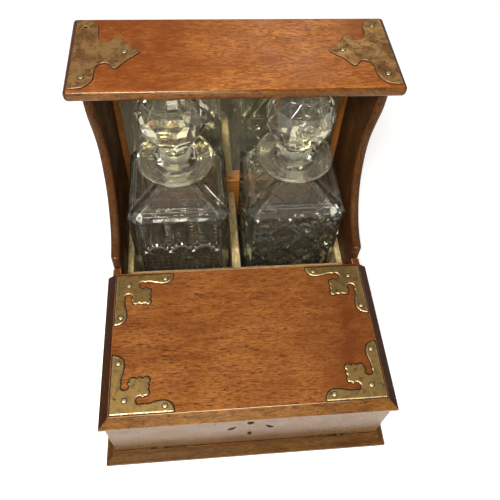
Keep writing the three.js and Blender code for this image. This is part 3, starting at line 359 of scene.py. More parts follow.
def mirror_glass():
    material, tree, shader = new_material("mirror_glass")
    cloud = noise(tree, stretched_place(tree), 26, 4, 0.6)
    colour = mixed(tree, between(tree, cloud, 0.35, 0.7), (0.95, 0.91, 0.68), (0.80, 0.76, 0.54))
    across = add_node(tree, "SeparateXYZ", {0: stretched_place(tree)}).outputs[0]
    # Painted shade: the mirror grows darker to the right.
    shade_to_right = between(tree, across, -0.04, 0.02, 0, 0.62)
    colour = mixed(tree, shade_to_right, colour, (0.30, 0.29, 0.20))
    spots = noise(tree, stretched_place(tree), 300, 4, 0.7)
    colour = mixed(tree, between(tree, spots, 0.66, 0.72, 0, 0.6), colour, (0.12, 0.10, 0.07))
    tree.links.new(colour, shader.inputs["Base Color"])
    shader.inputs["Metallic"].default_value = 0.86
    tree.links.new(between(tree, spots, 0.5, 0.75, 0.02, 0.2), shader.inputs["Roughness"])
    return material


dirt_and_shade_line, silvered = old_dirt(), mirror_glass()
print("dirt and mirror:", dirt_and_shade_line.name, silvered.name)

# %% [markdown]
# ## Cloth and card
# The wells and the games box are lined with baize, a woven wool with a short raised nap. A very fine
# noise is the nap, a coarse one is where it is worn, and a little sheen stands for its soft fibres.
# A pack of cards is a stack of thin sheets, so a wave in bands along Z draws its cut edges.

# %% Cloth and card


def cloth(name, light, dark):
    material, tree, shader = new_material(name)
    nap = noise(tree, stretched_place(tree), 2600, 3, 0.7)
    wear = noise(tree, stretched_place(tree), 60, 3, 0.6)
    colour = mixed(tree, between(tree, nap, 0.3, 0.7), dark, light)
    colour = mixed(tree, between(tree, wear, 0.5, 0.75, 0, 0.5), colour, dark)
    tree.links.new(colour, shader.inputs["Base Color"])
    shader.inputs["Roughness"].default_value = 0.95
    shader.inputs["Sheen Weight"].default_value = 0.35
    shader.inputs["Specular IOR Level"].default_value = 0.15
    bumped(tree, shader, nap, 0.0002, 0.7)
    return material


def card_edges():
    """The cut edges of a pack: thin grey lines between cream cards."""
    material, tree, shader = new_material("card_edges")
    wave = {"Vector": stretched_place(tree), "Scale": 520.0, "Distortion": 0.6}
    sheets = add_node(tree, "TexWave", wave, wave_type="BANDS", bands_direction="Z",
                      wave_profile="SIN").outputs[1]
    grime = noise(tree, stretched_place(tree), 180, 3, 0.6)
    colour = mixed(tree, between(tree, sheets, 0.2, 0.6), (0.36, 0.31, 0.23), (0.72, 0.66, 0.53))
    colour = mixed(tree, between(tree, grime, 0.5, 0.75, 0, 0.5), colour, (0.34, 0.27, 0.17))
    tree.links.new(colour, shader.inputs["Base Color"])
    shader.inputs["Roughness"].default_value = 0.7
    return material


def card_back():
    """A plain red card back with a little rubbing."""
    material, tree, shader = new_material("card_back")
    rub = noise(tree, stretched_place(tree), 140, 4, 0.65)
    colour = mixed(tree, between(tree, rub, 0.45, 0.75, 0, 0.6), (0.30, 0.05, 0.04), (0.52, 0.24, 0.18))
    tree.links.new(colour, shader.inputs["Base Color"])
    shader.inputs["Roughness"].default_value = 0.45
    return material


green_baize = cloth("green_baize", (0.045, 0.13, 0.05), (0.02, 0.065, 0.025))
brown_baize = cloth("brown_baize", (0.085, 0.062, 0.035), (0.04, 0.028, 0.016))
card_rim = cloth("card_rim", (0.74, 0.68, 0.55), (0.60, 0.53, 0.40))
cards_cut, cards_back = card_edges(), card_back()
print("cloths and cards:", green_baize.name, brown_baize.name, cards_cut.name, cards_back.name)

# %% [markdown]
# ## Cut glass
# Old cut glass is clear with a faint straw tint. It needs no picture of its own: what the eye sees is
# the room bent by its facets. A share of each ray is scattered instead of let through, like the film
# of dust and scratches that keeps old glass from looking like water. Ground places scatter more.

# %% Glass


def glass(name, tint, rough, veil):
    """The veil is the small share of light that old, dusty or ground glass scatters."""
    material, tree, shader = new_material(name)
    film = noise(tree, stretched_place(tree), 90, 4, 0.6)
    smeared = shaded(tint, (0.93, 0.93, 0.93))
    colour = mixed(tree, between(tree, film, 0.4, 0.75, 0, 0.5), tint, smeared)
    tree.links.new(colour, shader.inputs["Base Color"])
    shader.inputs["Transmission Weight"].default_value = 1 - veil
    shader.inputs["IOR"].default_value = 1.53
    tree.links.new(between(tree, film, 0.55, 0.8, rough, rough + 0.05), shader.inputs["Roughness"])
    return material


left_glass = glass("left_glass", (0.95, 0.95, 0.86), 0.0, 0.01)
right_glass = glass("right_glass", (0.95, 0.96, 0.85), 0.0, 0.01)
ball_glass = glass("ball_glass", (0.97, 0.95, 0.83), 0.0, 0.018)
lip_glass = glass("lip_glass", (0.97, 0.91, 0.76), 0.02, 0.06)
ridge_glass = glass("ridge_glass", (0.95, 0.92, 0.82), 0.10, 0.13)
shoulder_glass = glass("shoulder_glass", (0.95, 0.94, 0.87), 0.0, 0.022)
# Dull glass for the upper rims of the thumbprints, a painted highlight.
print_glass = glass("print_glass", (0.95, 0.84, 0.72), 0.2, 0.17)
wheel_cut = glass("wheel_cut", (0.96, 0.91, 0.74), 0.12, 0.1)
ground_glass = glass("ground_glass", (0.90, 0.91, 0.86), 0.28, 0.2)
print("glasses:", sum(m.name.endswith("_glass") for m in bpy.data.materials))

# %% [markdown]
# ## From a bmesh to a piece
# Each finer piece is one mesh with its place in its own vertices. It rides on a body of the model,
# stands for the solid that it refines, and holds its finishes in its own material slots. A solid is
# read as loose triangles, so a copy of it is joined up into real flat faces before its edges are
# rounded.

# %% Piece helpers
SLIVER = 0.000001
body_of = {name: solid.parent.name.split(":")[1] for name, solid in nodes.items()}


def new_piece(bm, name, finishes, body, stands_for=()):
    mesh = bpy.data.meshes.new(name)
    bm.to_mesh(mesh)
    bm.free()
    for finish in finishes:
        mesh.materials.append(finish)
    piece = bpy.data.objects.new(name, mesh)
    bpy.context.scene.collection.objects.link(piece)
    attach(piece, body)
    if stands_for:
        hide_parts(*stands_for)
    triangles = sum(len(face.vertices) - 2 for face in mesh.polygons)
    print(f"{name}: {triangles} triangles")


def merged_copy(name):
    bm = bmesh.new()
    bm.from_mesh(nodes[name].data)
    bmesh.ops.remove_doubles(bm, verts=bm.verts, dist=0.00001)
    bmesh.ops.dissolve_limit(bm, angle_limit=radians(1), verts=bm.verts, edges=bm.edges)
    return bm


def soften(bm, width, segments=3):
    """Rounds the sharp outer edges. The rounded strips get the piece's second material. Where two
    roundings meet, a bevel can leave faces without any width, and these are merged away."""
    edges = []
    for edge in bm.edges:
        if len(edge.link_faces) == 2 and edge.is_convex and edge.calc_face_angle() > radians(35):
            edges.append(edge)
    rounded = bmesh.ops.bevel(
        bm, geom=edges, offset=width, offset_type="OFFSET", affect="EDGES", segments=segments,
        profile=0.5, material=-1, clamp_overlap=True, miter_outer="ARC",
    )
    for face in rounded["faces"]:
        face.smooth = True
        face.material_index = 1
    bmesh.ops.dissolve_degenerate(bm, dist=SLIVER, edges=bm.edges)


def softened(name, face_finish, edge_finish, width):
    bm = merged_copy(name)
    soften(bm, width)
    new_piece(bm, name + "_worn", [face_finish, edge_finish], body_of[name], [name])


print("bodies:", sorted(set(body_of.values())))

# %% [markdown]
# ## The carcass
# The plinth, the uprights and the well's parts are sound solids already. What they lack is wear: no old
# edge is sharp. Each is copied, its outer edges are rounded by half a millimetre or more, and the
# rounded strips get a finish of their own, because polish and dirt change an edge first. The rail's
# pale rounded strips are a painted highlight as well, and the well's pale wood is made brighter as
# painted light.

# %% Plinth, uprights and well
softened("plinth_front", front_moulding_oak, moulding_arris, 0.0005)
for side in ("left", "right"):
    softened("plinth_" + side, side_moulding_oak, moulding_arris, 0.0005)
    softened("side_panel_" + side, upright_oak, upright_face_oak, 0.0008)
    softened("well_liner_" + side, bare_wood, bare_wood, 0.0006)
    softened("mirror_bead_" + side, bead_oak, bead_oak, 0.001)
# The liners and the divider: pale wood, partly painted light.
softened("well_divider", bare_wood, bare_wood, 0.0008)
softened("mirror_rail", rail_oak, worn_arris, 0.0009)
softened("back_panel", dim_oak, dim_oak, 0.0006)
softened("base_board", dim_oak, dim_oak, 0.0006)

# %% [markdown]
# ### The games box
# The box is thin boards, with pale unstained partitions inside. Bright arrises, worn and partly a
# painted highlight, frame its dark walls.
# The same helper serves, with a smaller round where a board is thin.

# %% Games box walls and partitions
softened("box_front", front_oak, worn_arris, 0.0005)
for side in ("left", "right"):
    softened("box_side_" + side, box_side_oak, worn_arris, 0.0005)
    softened("partition_short_" + side, partition_wood, partition_wood, 0.0007)
softened("box_back", front_oak, worn_arris, 0.0005)
softened("box_batten", batten_wood, batten_wood, 0.0007)
softened("partition_long", partition_wood, partition_wood, 0.0007)
softened("box_floor", floor_wood, floor_wood, 0.0004)

# %% [markdown]
# ### Packs of cards
# Two packs lie in the box, their backs up. A back has a cream rim round a plain coloured middle. An
# inset of the top face makes that rim as real faces, which need no picture.

# %% Packs of cards
RIM_WIDTH = 0.003


def card_pack(name):
    bm = merged_copy(name)
    bm.normal_update()
    backs = [face for face in bm.faces if face.normal.z > 0.9]
    for face in bm.faces:
        face.material_index = 1
    rims = bmesh.ops.inset_region(bm, faces=backs, thickness=RIM_WIDTH, use_even_offset=True,
                                  use_boundary=True)
    for face in rims["faces"]:
        face.material_index = 2
    for face in backs:
        face.material_index = 0
    new_piece(bm, name + "_stacked", [cards_back, cards_cut, card_rim], "games_box", [name])


for side in ("left", "right"):
    card_pack("card_pack_" + side)

# %% [markdown]
# ## The top board
# The board's edge is a full round, worked with a plane and then rubbed by years of hands. It starts as
# a cube of the solid's own size, and every edge is bevelled in eight steps. The ends and the back edge
# show end grain and old stain, so the faces out there get a darker finish. Along the front, every face
# that doesn't look up gets a darker finish too, with some dirt: painted shade on the lower part of the
# round.

# %% Top board
BOARD_ROUND, END_STRIP = 0.0034, 0.0030


def top_board():
    low, high = (Vector(corner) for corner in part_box("top_board"))
    bm = bmesh.new()
    cube = bmesh.ops.create_cube(bm, size=1)["verts"]
    bmesh.ops.scale(bm, vec=high - low, verts=cube)
    bmesh.ops.translate(bm, vec=(low + high) / 2, verts=cube)
    soften(bm, BOARD_ROUND, 8)
    for face in bm.faces:
        centre = face.calc_center_median()
        if max(abs(centre.x) - high.x, centre.y - high.y) > -END_STRIP:
            face.material_index = 2
        else:
            # Faces that don't look up get the darker edge finish, a painted shade.
            face.material_index = 0 if face.normal.z > 0.8 else 1
    finishes = [top_oak, top_edge_oak, top_end_oak]
    new_piece(bm, "top_board_rounded", finishes, "case", ["top_board"])


top_board()

# %% [markdown]
# ## The lid
# The lid keeps the solid's chamfers, and its arrises get a small round: the front one catches the lamp
# as a bright line, and its pale middle is also a painted highlight. Which way a face looks tells what
# it is: the ends are dark end grain, the front chamfer has a finish of its own, and the round along the
# top is the bright arris.

# %% Lid
LID_ROUND, BELOW_TOP = 0.0016, 0.0015


def lid():
    bm = merged_copy("lid_panel")
    soften(bm, LID_ROUND, 4)
    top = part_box("lid_panel")[1][2]
    for face in bm.faces:
        low_down = face.calc_center_median().z < top - BELOW_TOP
        if abs(face.normal.x) > 0.3 and (abs(face.normal.z) < 0.75 or low_down):
            face.material_index = 2
        elif face.normal.y < -0.3 or (face.material_index == 1 and low_down):
            face.material_index = 3
    finishes = [lid_oak, bright_arris, lid_end_oak, lid_chamfer_oak]
    new_piece(bm, "lid_panel_worn", finishes, "lid", ["lid_panel"])


lid()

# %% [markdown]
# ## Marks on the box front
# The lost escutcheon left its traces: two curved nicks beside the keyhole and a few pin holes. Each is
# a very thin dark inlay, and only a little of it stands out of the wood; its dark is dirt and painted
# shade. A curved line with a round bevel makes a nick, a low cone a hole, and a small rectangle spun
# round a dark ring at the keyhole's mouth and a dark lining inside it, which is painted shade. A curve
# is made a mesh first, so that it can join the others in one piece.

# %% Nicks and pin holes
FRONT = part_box("box_front")[0][1]
KEYHOLE_LEVEL = 62.5


def mesh_of(curve):
    """A curve made a mesh. The curve itself is thrown away."""
    holder = bpy.data.objects.new("holder", curve)
    bpy.context.scene.collection.objects.link(holder)
    bpy.context.view_layer.update()
    mesh = bpy.data.meshes.new_from_object(holder)
    bpy.data.objects.remove(holder)
    bpy.data.curves.remove(curve)
    return mesh


def nick(bm, ends, sag):
    """A thin curved stroke on the front face. Its ends are across and up, in millimetres."""
    curve = bpy.data.curves.new("nick", "CURVE")
    curve.dimensions = "3D"
    curve.bevel_depth = 0.0011
    curve.bevel_resolution = 2
    curve.resolution_u = 6
    curve.use_fill_caps = True
    spline = curve.splines.new("BEZIER")
    spline.bezier_points.add(2)
    (u0, w0), (u1, w1) = ends
    places = ((u0, w0), ((u0 + u1) / 2, (w0 + w1) / 2 + sag), (u1, w1))
    for knot, (u, w) in zip(spline.bezier_points, places):
        knot.co = Vector((u, 0, w)) * MM + Vector((0, FRONT, 0))
        knot.handle_left_type = knot.handle_right_type = "AUTO"
    spline.bezier_points[0].radius = spline.bezier_points[2].radius = 0.4
    mesh = mesh_of(curve)
    bm.from_mesh(mesh)
    bpy.data.meshes.remove(mesh)


def spun_ring(bm, level, radii, depths):
    """A flat rectangle beside the keyhole's axis, spun all the way round. All in millimetres."""
    (inner, outer), (near, far) = radii, depths
    corners = bmesh.ops.create_grid(bm, x_segments=1, y_segments=1, size=0.5 * MM)["verts"]
    flat = [face for v in corners for face in v.link_faces][:1]
    bmesh.ops.delete(bm, geom=flat, context="FACES_ONLY")
    bmesh.ops.scale(bm, vec=(outer - inner, far - near, 1), verts=corners)
    place = Vector(((inner + outer) / 2, (near + far) / 2, level)) * MM + Vector((0, FRONT, 0))
    bmesh.ops.translate(bm, vec=place, verts=corners)
    sides = [edge for edge in bm.edges if edge.verts[0] in corners and edge.verts[1] in corners]
    bmesh.ops.spin(bm, geom=[*corners, *sides], cent=(0, FRONT, level * MM), axis=(0, 1, 0),
                   angle=2 * pi, steps=24, use_merge=True)


def front_marks():
    bm = bmesh.new()
    nick(bm, ((-18.4, 48.9), (-11.7, 54.2)), -0.9)
    nick(bm, ((12.6, 53.7), (19.2, 48.7)), -0.9)
    # Pin holes: dark discs of dirt and painted shade.
    for u, w, radius in ((-28.8, 65.6, 0.9), (30.8, 65.9, 0.9), (38.8, 46.9, 0.7)):
        facing = Matrix.Translation((u * MM, FRONT, w * MM)) @ Matrix.Rotation(radians(90), 4, "X")
        bmesh.ops.create_cone(bm, cap_ends=True, segments=12, radius1=radius * MM,
                              radius2=radius * 0.6 * MM, depth=0.0002, matrix=facing)
    spun_ring(bm, KEYHOLE_LEVEL, (1.9, 2.9), (-0.15, 0.2))
    # The keyhole's dark lining: painted shade inside the hole.
    spun_ring(bm, KEYHOLE_LEVEL, (1.88, 2.05), (-0.1, 4.0))
    bmesh.ops.remove_doubles(bm, verts=bm.verts, dist=SLIVER)
    bmesh.ops.recalc_face_normals(bm, faces=bm.faces)
    new_piece(bm, "front_nicks", [dirt_and_shade_line], "games_box")


front_marks()

# %% [markdown]
# ## Brass mounts
# The mounts are cast plates with filed edges, each held by domed pins. A flat closed curve suits such
# an outline, because its knots are few, and Blender fills it. The flat face is extruded to the plate's
# thickness, and its top is inset and raised, which files a sloping edge all round. The same outline,
# spread by the curve's offset and thinner, is the dark line round the plate: old wax, and the plate's
# painted shadow.

# %% Plates and pins
PLATE, WAX_AND_SHADOW_DEPTH = 0.0008, 0.0001


def flat_outline(outlines, spread):
    """A flat face, its holes left open. Each outline is a list of knots: across, up, is it a corner."""
    curve = bpy.data.curves.new("plate_outline", "CURVE")
    curve.dimensions = "2D"
    curve.fill_mode = "BOTH"
    curve.resolution_u = 5
    curve.offset = spread
    for outline in outlines:
        spline = curve.splines.new("BEZIER")
        spline.bezier_points.add(len(outline) - 1)
        spline.use_cyclic_u = True
        for knot, (x, y, corner) in zip(spline.bezier_points, outline):
            knot.co = (x, y, 0)
            knot.handle_left_type = knot.handle_right_type = "VECTOR" if corner else "AUTO"
    return mesh_of(curve)


def add_plate(bm, outlines, place, level, thickness, slope=0.0, rise=0.0, spread=0.0, indices=(0, 0)):
    """Joins a plate to bm. Its sides and its filed edge get the second material index. On thin
    plates the normals can come out turned in, which shows as a volume below zero."""
    mesh = flat_outline(outlines, spread)
    mesh.transform(Matrix.Translation((0, 0, level)) @ place)
    part = bmesh.new()
    part.from_mesh(mesh)
    bmesh.ops.remove_doubles(part, verts=part.verts, dist=0.000002)
    for face in part.faces:
        if face.normal.z < 0:
            face.normal_flip()
    raised = bmesh.ops.extrude_face_region(part, geom=list(part.faces))["geom"]
    top = [piece for piece in raised if isinstance(piece, bmesh.types.BMFace)]
    corners = {point for face in top for point in face.verts}
    bmesh.ops.translate(part, vec=(0, 0, thickness - rise), verts=list(corners))
    for face in part.faces:
        face.material_index = indices[1]
    if slope:
        bmesh.ops.inset_region(part, faces=top, thickness=slope, use_even_offset=True,
                               use_boundary=True)
        inner = {point for face in top for point in face.verts}
        bmesh.ops.translate(part, vec=(0, 0, rise), verts=list(inner))
    for face in top:
        face.material_index = indices[0]
    bmesh.ops.recalc_face_normals(part, faces=part.faces)
    if part.calc_volume(signed=True) < 0:
        bmesh.ops.reverse_faces(part, faces=part.faces)
    part.to_mesh(mesh)
    part.free()
    bm.from_mesh(mesh)
    bpy.data.meshes.remove(mesh)


# The dark line round a plate: old wax, and the plate's painted shadow.
def wax_and_shadow_line(bm, outline, place, level, spread):
    add_plate(bm, [outline], place, level - WAX_AND_SHADOW_DEPTH, 0.0003, spread=spread, indices=(2, 2))


def domed_pin(bm, place, level):
    """A low domed head over a thin dark ring, which is dirt and painted shade at its foot."""
    spot = Matrix.Translation((place.translation.x, place.translation.y, level))
    ring = bmesh.ops.create_cone(bm, cap_ends=True, segments=24, radius1=0.0025, radius2=0.0024,
                                 depth=0.0003, matrix=spot)["verts"]
    for face in {f for v in ring for f in v.link_faces}:
        face.material_index = 2
    dome = bmesh.ops.create_uvsphere(bm, u_segments=20, v_segments=12, radius=0.0019,
                                     matrix=spot @ Matrix.Diagonal((1, 1, 0.36, 1)))["verts"]
    for face in {f for v in dome for f in v.link_faces}:
        face.material_index = 1
        face.smooth = True


print("plates are", PLATE / MM, "mm thick")

# %% [markdown]
# ### Corner mounts of the lid
# Each corner mount has two arms with rounded ends and, between them, a leaf with a wavy edge behind
# two round notches. It is the same on both sides of its diagonal, so only half of the knots are
# written, as shares of the arm's length, and the other half is their mirror image.

# %% Corner mounts of the lid
ARM = 0.0485
ARM_KNOTS = ((0.985, 0.09), (0.93, 0.16), (0.84, 0.19), (0.7, 0.175), (0.6, 0.15), (0.53, 0.145))
NOTCH_CENTRE, NOTCH_RADIUS = (0.465, 0.215), 0.075
LEAF_KNOTS = ((0.53, 0.285), (0.585, 0.3), (0.602, 0.355), (0.584, 0.405), (0.603, 0.455),
              (0.586, 0.5), (0.608, 0.545), (0.6, 0.585))
PIN_KNOTS = ((0.22, 0.22), (0.86, 0.1), (0.1, 0.86))


def corner_outline():
    """From the corner along one arm, round the notch and the leaf, and back down the other arm."""
    notch = []
    for step in range(7):
        turn = pi * (-0.3 - 1.45 * step / 6)
        notch.append((NOTCH_CENTRE[0] + NOTCH_RADIUS * cos(turn),
                      NOTCH_CENTRE[1] + NOTCH_RADIUS * sin(turn)))
    half = [(1.0, 0.0, True), (1.0, 0.03, True)]
    half += [(u, v, False) for u, v in (*ARM_KNOTS, *notch, *LEAF_KNOTS)]
    other = [(v, u, corner) for u, v, corner in reversed(half)]
    return [(u * ARM, v * ARM, corner) for u, v, corner in [(0, 0, True), *half, *other]]


def corner_mount(name, side, end):
    """Side and end are 1 or -1: which way the arms run from the corner."""
    low, high = (Vector(corner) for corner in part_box(name))
    turned = Matrix.Diagonal((side, end, 1, 1))
    turned.translation = (low.x if side > 0 else high.x, low.y if end > 0 else high.y, 0)
    bm = bmesh.new()
    add_plate(bm, [corner_outline()], turned, low.z, PLATE, 0.0008, 0.00045, 0, (0, 3))
    wax_and_shadow_line(bm, corner_outline(), turned, low.z, 0.0008)
    for u, v in PIN_KNOTS:
        domed_pin(bm, turned @ Matrix.Translation((u * ARM, v * ARM, 0)), low.z + PLATE)
    finishes = [old_brass, pin_brass, dirt_and_shade_line, filed_brass]
    new_piece(bm, name + "_cast", finishes, "lid", [name])


for end, way in (("front", 1), ("back", -1)):
    corner_mount(f"lid_mount_{end}_left", 1, way)
    corner_mount(f"lid_mount_{end}_right", -1, way)

# %% [markdown]
# ### End mounts of the top board
# These two start as a broad foot along the board's end and draw in to a pointed leaf. Knots are written
# for one half again. The left one has lost its back pin: a second outline inside the first leaves a
# hole there, with a smaller one beside it, and the dark plate of wax and painted shadow below shows
# through.

# %% End mounts of the top board
TONGUE, HALF_SPAN = 0.049, 0.0411
END_KNOTS = ((0.02, 1), (0.1, 1), (0.22, 0.96), (0.3, 0.86), (0.345, 0.75), (0.35, 0.6), (0.355, 0.48),
             (0.4, 0.37), (0.47, 0.31), (0.54, 0.32), (0.59, 0.4), (0.64, 0.46), (0.7, 0.42),
             (0.76, 0.31), (0.84, 0.2), (0.93, 0.1))
END_PINS = ((0.78, 0), (0.18, -0.72), (0.18, 0.74))
LOST_PIN = ((0.15, 0.76, 0.0013), (0.24, 0.77, 0.0010))


def end_outline():
    far = [(u, v, False) for u, v in END_KNOTS]
    near = [(u, -v, corner) for u, v, corner in reversed(far)]
    knots = [(0, -1, True), *reversed(near), (1, 0, True), *reversed(far), (0, 1, True)]
    return [(u * TONGUE, v * HALF_SPAN, corner) for u, v, corner in knots]


def hole_outline(u, v, radius):
    turns = [pi * i / 3 for i in range(6)]
    return [(u * TONGUE + radius * cos(t), v * HALF_SPAN + radius * sin(t), False) for t in turns]


def end_mount(name, side, holes):
    low, high = (Vector(corner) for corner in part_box(name))
    turned = Matrix.Diagonal((side, 1, 1, 1))
    turned.translation = (low.x if side > 0 else high.x, (low.y + high.y) / 2, 0)
    bm = bmesh.new()
    outlines = [end_outline(), *(hole_outline(*hole) for hole in holes)]
    add_plate(bm, outlines, turned, low.z, PLATE, 0.0005, 0.0003, 0, (0, 3))
    wax_and_shadow_line(bm, end_outline(), turned, low.z, 0.0004)
    for u, v in END_PINS:
        if not (holes and v > 0):
            spot = turned @ Matrix.Translation((u * TONGUE, v * HALF_SPAN, 0))
            domed_pin(bm, spot, low.z + PLATE)
    finishes = [copper_brown, pin_brass, dirt_and_shade_line, filed_copper]
    new_piece(bm, name + "_cast", finishes, "case", [name])


end_mount("top_mount_left", 1, LOST_PIN)
end_mount("top_mount_right", -1, ())

# %% [markdown]
# ## Square decanters
# A cut decanter starts as a blown square bottle. Its walls are then ground on a wheel, and each cut
# is a straight V or a shallow dish. Glass bends light at every facet, so flat walls with painted
# cuts wouldn't do: the cuts are real facets here. One ring of edges is extruded all the way: up the
# walls, over the roof and the lip, down the bore and out to the cavity, so that the shell is closed.

# %% Growing a ring
HALF, CORNER = 44, 6.5


def cut_square(half):
    """How far out a square ring with cut corners lies in each direction."""
    corner = half * CORNER / HALF

    def reach(turn):
        across, up = abs(cos(turn)), abs(sin(turn))
        return min(half / max(across, up), (2 * half - corner) / (across + up))

    return reach


def circle(radius):
    return lambda turn: radius


def flats(count, half):
    """A ring of flat sides, half a width out from the middle."""
    step = 2 * pi / count
    return lambda turn: half / cos((turn + step / 2) % step - step / 2)


def grow(bm, rim, axis, level, reach, smooth=False, index=0):
    """Extrudes a closed rim and puts the new one at a level, as far out as reach says."""
    made = bmesh.ops.extrude_edge_only(bm, edges=rim)["geom"]
    points = {part for part in made if isinstance(part, bmesh.types.BMVert)}
    for point in points:
        x, y = point.co.x / MM - axis[0], point.co.y / MM - axis[1]
        turn = atan2(y, x)
        out = reach(turn)
        point.co = Vector((axis[0] + out * cos(turn), axis[1] + out * sin(turn), level)) * MM
    for part in made:
        if isinstance(part, bmesh.types.BMFace):
            part.smooth = smooth
            part.material_index = index
    return [e for e in made if isinstance(e, bmesh.types.BMEdge) and set(e.verts) <= points]


def cap(bm, rim):
    bmesh.ops.contextual_create(bm, geom=rim)


def open_rim(bm):
    return [edge for edge in bm.edges if edge.is_boundary]


print("the square reaches", cut_square(HALF)(0), "and at a corner", round(cut_square(HALF)(pi / 4), 1))

# %% [markdown]
# ### Cutting like a wheel
# A wheel leaves straight lines. So a flat wall is first split along lines, with bisect_plane, and
# then each inner point is pushed in by the depth that a pattern gives for its place. The points of
# the wall's outline stay where they are, so it stays joined to its neighbours.

# %% Cutting a face
# The crescent index marks the painted highlight on the thumbprints' upper rims.
LIT_CRESCENT, CLEAR_CUT, GROUND, CLEAR_ROOF = 3, 0, 1, 4
SHARP_CUT = radians(24)


def score(bm, faces, out, marks, depth, ground=False, frosted_highlight=None):
    """Splits flat faces along lines, then pushes each inner point in by the depth found there.

    A mark is a place and a direction across the face, both as a pair. Across and up are measured
    in millimetres on the face, from the middle of its foot."""
    foot = min((v.co for f in faces for v in f.verts), key=lambda co: co.z).z
    across = Vector((0, 0, 1)).cross(out).normalized()
    up = out.cross(across)
    corners = [v.co for f in faces for v in f.verts if v.co.z < foot + 0.00001]
    origin = sum(corners, Vector()) / len(corners)
    edges, points = [e for f in faces for e in f.edges], [v for f in faces for v in f.verts]
    parts = list(dict.fromkeys([*faces, *edges, *points]))
    for (u, w), (du, dw) in marks:
        place = origin + (across * u + up * w) * MM
        line = (across * du + up * dw).cross(out)
        parts = bmesh.ops.bisect_plane(bm, geom=parts, dist=1e-7, plane_co=place,
                                       plane_no=line)["geom"]
    pieces = {part for part in parts if isinstance(part, bmesh.types.BMFace)}
    for point in {v for f in pieces for v in f.verts}:
        if all(f in pieces for f in point.link_faces):
            there = (point.co - origin) / MM
            point.co -= out * depth(there.dot(across), there.dot(up)) * MM
    bm.normal_update()
    for edge in {e for f in pieces for e in f.edges}:
        edge.smooth = len(edge.link_faces) == 2 and edge.calc_face_angle() < SHARP_CUT
    for face in pieces:
        face.smooth = True
        there = (face.calc_center_median() - origin) / MM
        if frosted_highlight and frosted_highlight(there.dot(across), there.dot(up)):
            face.material_index = LIT_CRESCENT
        elif ground:
            face.material_index = GROUND if face.normal.dot(out) < 0.9 else CLEAR_ROOF
        else:
            face.material_index = CLEAR_CUT


def side_faces(bm, axis, out, low, high):
    """The flat faces of the outer wall or roof that look one way between two levels."""
    found = []
    for face in bm.faces:
        centre = face.calc_center_median() / MM
        away = (centre - Vector((axis[0], axis[1], centre.z))).dot(Vector((out.x, out.y, 0)))
        if low < centre.z < high and face.normal.dot(out) > 0.999 and away > 12:
            found.append(face)
    return found


print("cuts steeper than", 24, "degrees stay sharp")

# %% [markdown]
# ### The left pattern
# The left decanter has three fluted columns between chains of small pyramids. Each column ends over a
# round thumbprint, and the foot is cut all over. A pattern is a list of lines to split along, and a
# rule for how deep each point is. All lines are multiples of one step, so points fall on every edge.

# %% Left pattern
STEP = 10.75 / 8
COLUMNS = (-16 * STEP, 0.0, 16 * STEP)
CHAINS = (-24 * STEP, -8 * STEP, 8 * STEP, 24 * STEP)
FIRST_ROW = 4
PRINT_LEVEL, PRINT_RADIUS = FIRST_ROW + 41 * STEP, 7.2


def left_marks():
    upright = [((STEP * i, 0), (0, 1)) for i in range(-28, 29)]
    level = [((0, FIRST_ROW + STEP * i), (1, 0)) for i in range(73)]
    return upright + level


def print_distance(u, w):
    column = min(COLUMNS, key=lambda c: abs(u - c))
    return column, sqrt((u - column) ** 2 + (w - PRINT_LEVEL) ** 2)


def left_lit_crescent(u, w):
    """The upper rim of each thumbprint gets dull, scattering glass, which shows as a pale crescent: a
    painted highlight.
    """
    from_print = print_distance(u, w)[1]
    return PRINT_RADIUS - 1.2 < from_print < PRINT_RADIUS + 2.3 and w > PRINT_LEVEL + 3.2


def pyramids(u, w, pitch, depth):
    """Rows of small pyramids: 0 at their points and the full depth in the cuts between them."""
    across, up = abs(u / pitch % 1 - 0.5), abs(w / pitch % 1 - 0.5)
    return depth * 2 * max(across, up)


def left_depth(u, w):
    column, from_print = print_distance(u, w)
    chain = min(CHAINS, key=lambda c: abs(u - c))
    from_chain, from_first = u - chain + 2 * STEP, w - FIRST_ROW
    if from_print < PRINT_RADIUS:
        return 4.2 * (1 - (from_print / PRINT_RADIUS) ** 2)
    if from_print < PRINT_RADIUS + 2.8 and w > PRINT_LEVEL:
        return 0.0
    if w <= PRINT_LEVEL + 8:
        return pyramids(from_chain, from_first, 4 * STEP, 2.2)
    if abs(u - chain) < 2.2 * STEP:
        return pyramids(from_chain, from_first, 4 * STEP, 1.85)
    return max(0.0, 1.7 * (1 - ((u - column) / 7.8) ** 2))


print("left pattern:", len(left_marks()), "lines, thumbprints at", round(PRINT_LEVEL, 1), "mm")

# %% [markdown]
# ### The right pattern
# The right decanter has deep slants that cross, with a flat ridge beside each, a round dish where
# two of them meet, and fine crossed cuts in the diamonds between. Twelve fine lines make one slant.

# %% Right pattern
STEPS = 12
FINE = 37 / STEPS
RISING_START, FALLING_START, DISH_RADIUS = 67.75, 86.25, 7.2


def right_marks():
    rising = [((0, RISING_START + FINE * i), (1, -1)) for i in range(-22, 28)]
    falling = [((0, FALLING_START + FINE * i), (1, 1)) for i in range(-28, 22)]
    return rising + falling


def right_depth(u, w):
    rise, fall = (u + w - RISING_START) / FINE, (w - u - FALLING_START) / FINE
    half = STEPS // 2
    aside = [abs((line + half) % STEPS - half) for line in (rise, fall)]
    from_dish = FINE * sqrt((aside[0] ** 2 + aside[1] ** 2) / 2)
    if from_dish < DISH_RADIUS:
        return 3.0 * (1 - (from_dish / DISH_RADIUS) ** 2)
    if max(aside) > 5.5:
        return 2.6
    if max(aside) > 4.5:
        return 0.0
    return 1.5 if (round(rise) + round(fall)) % 2 else 0.1


print("right pattern:", len(right_marks()), "lines")

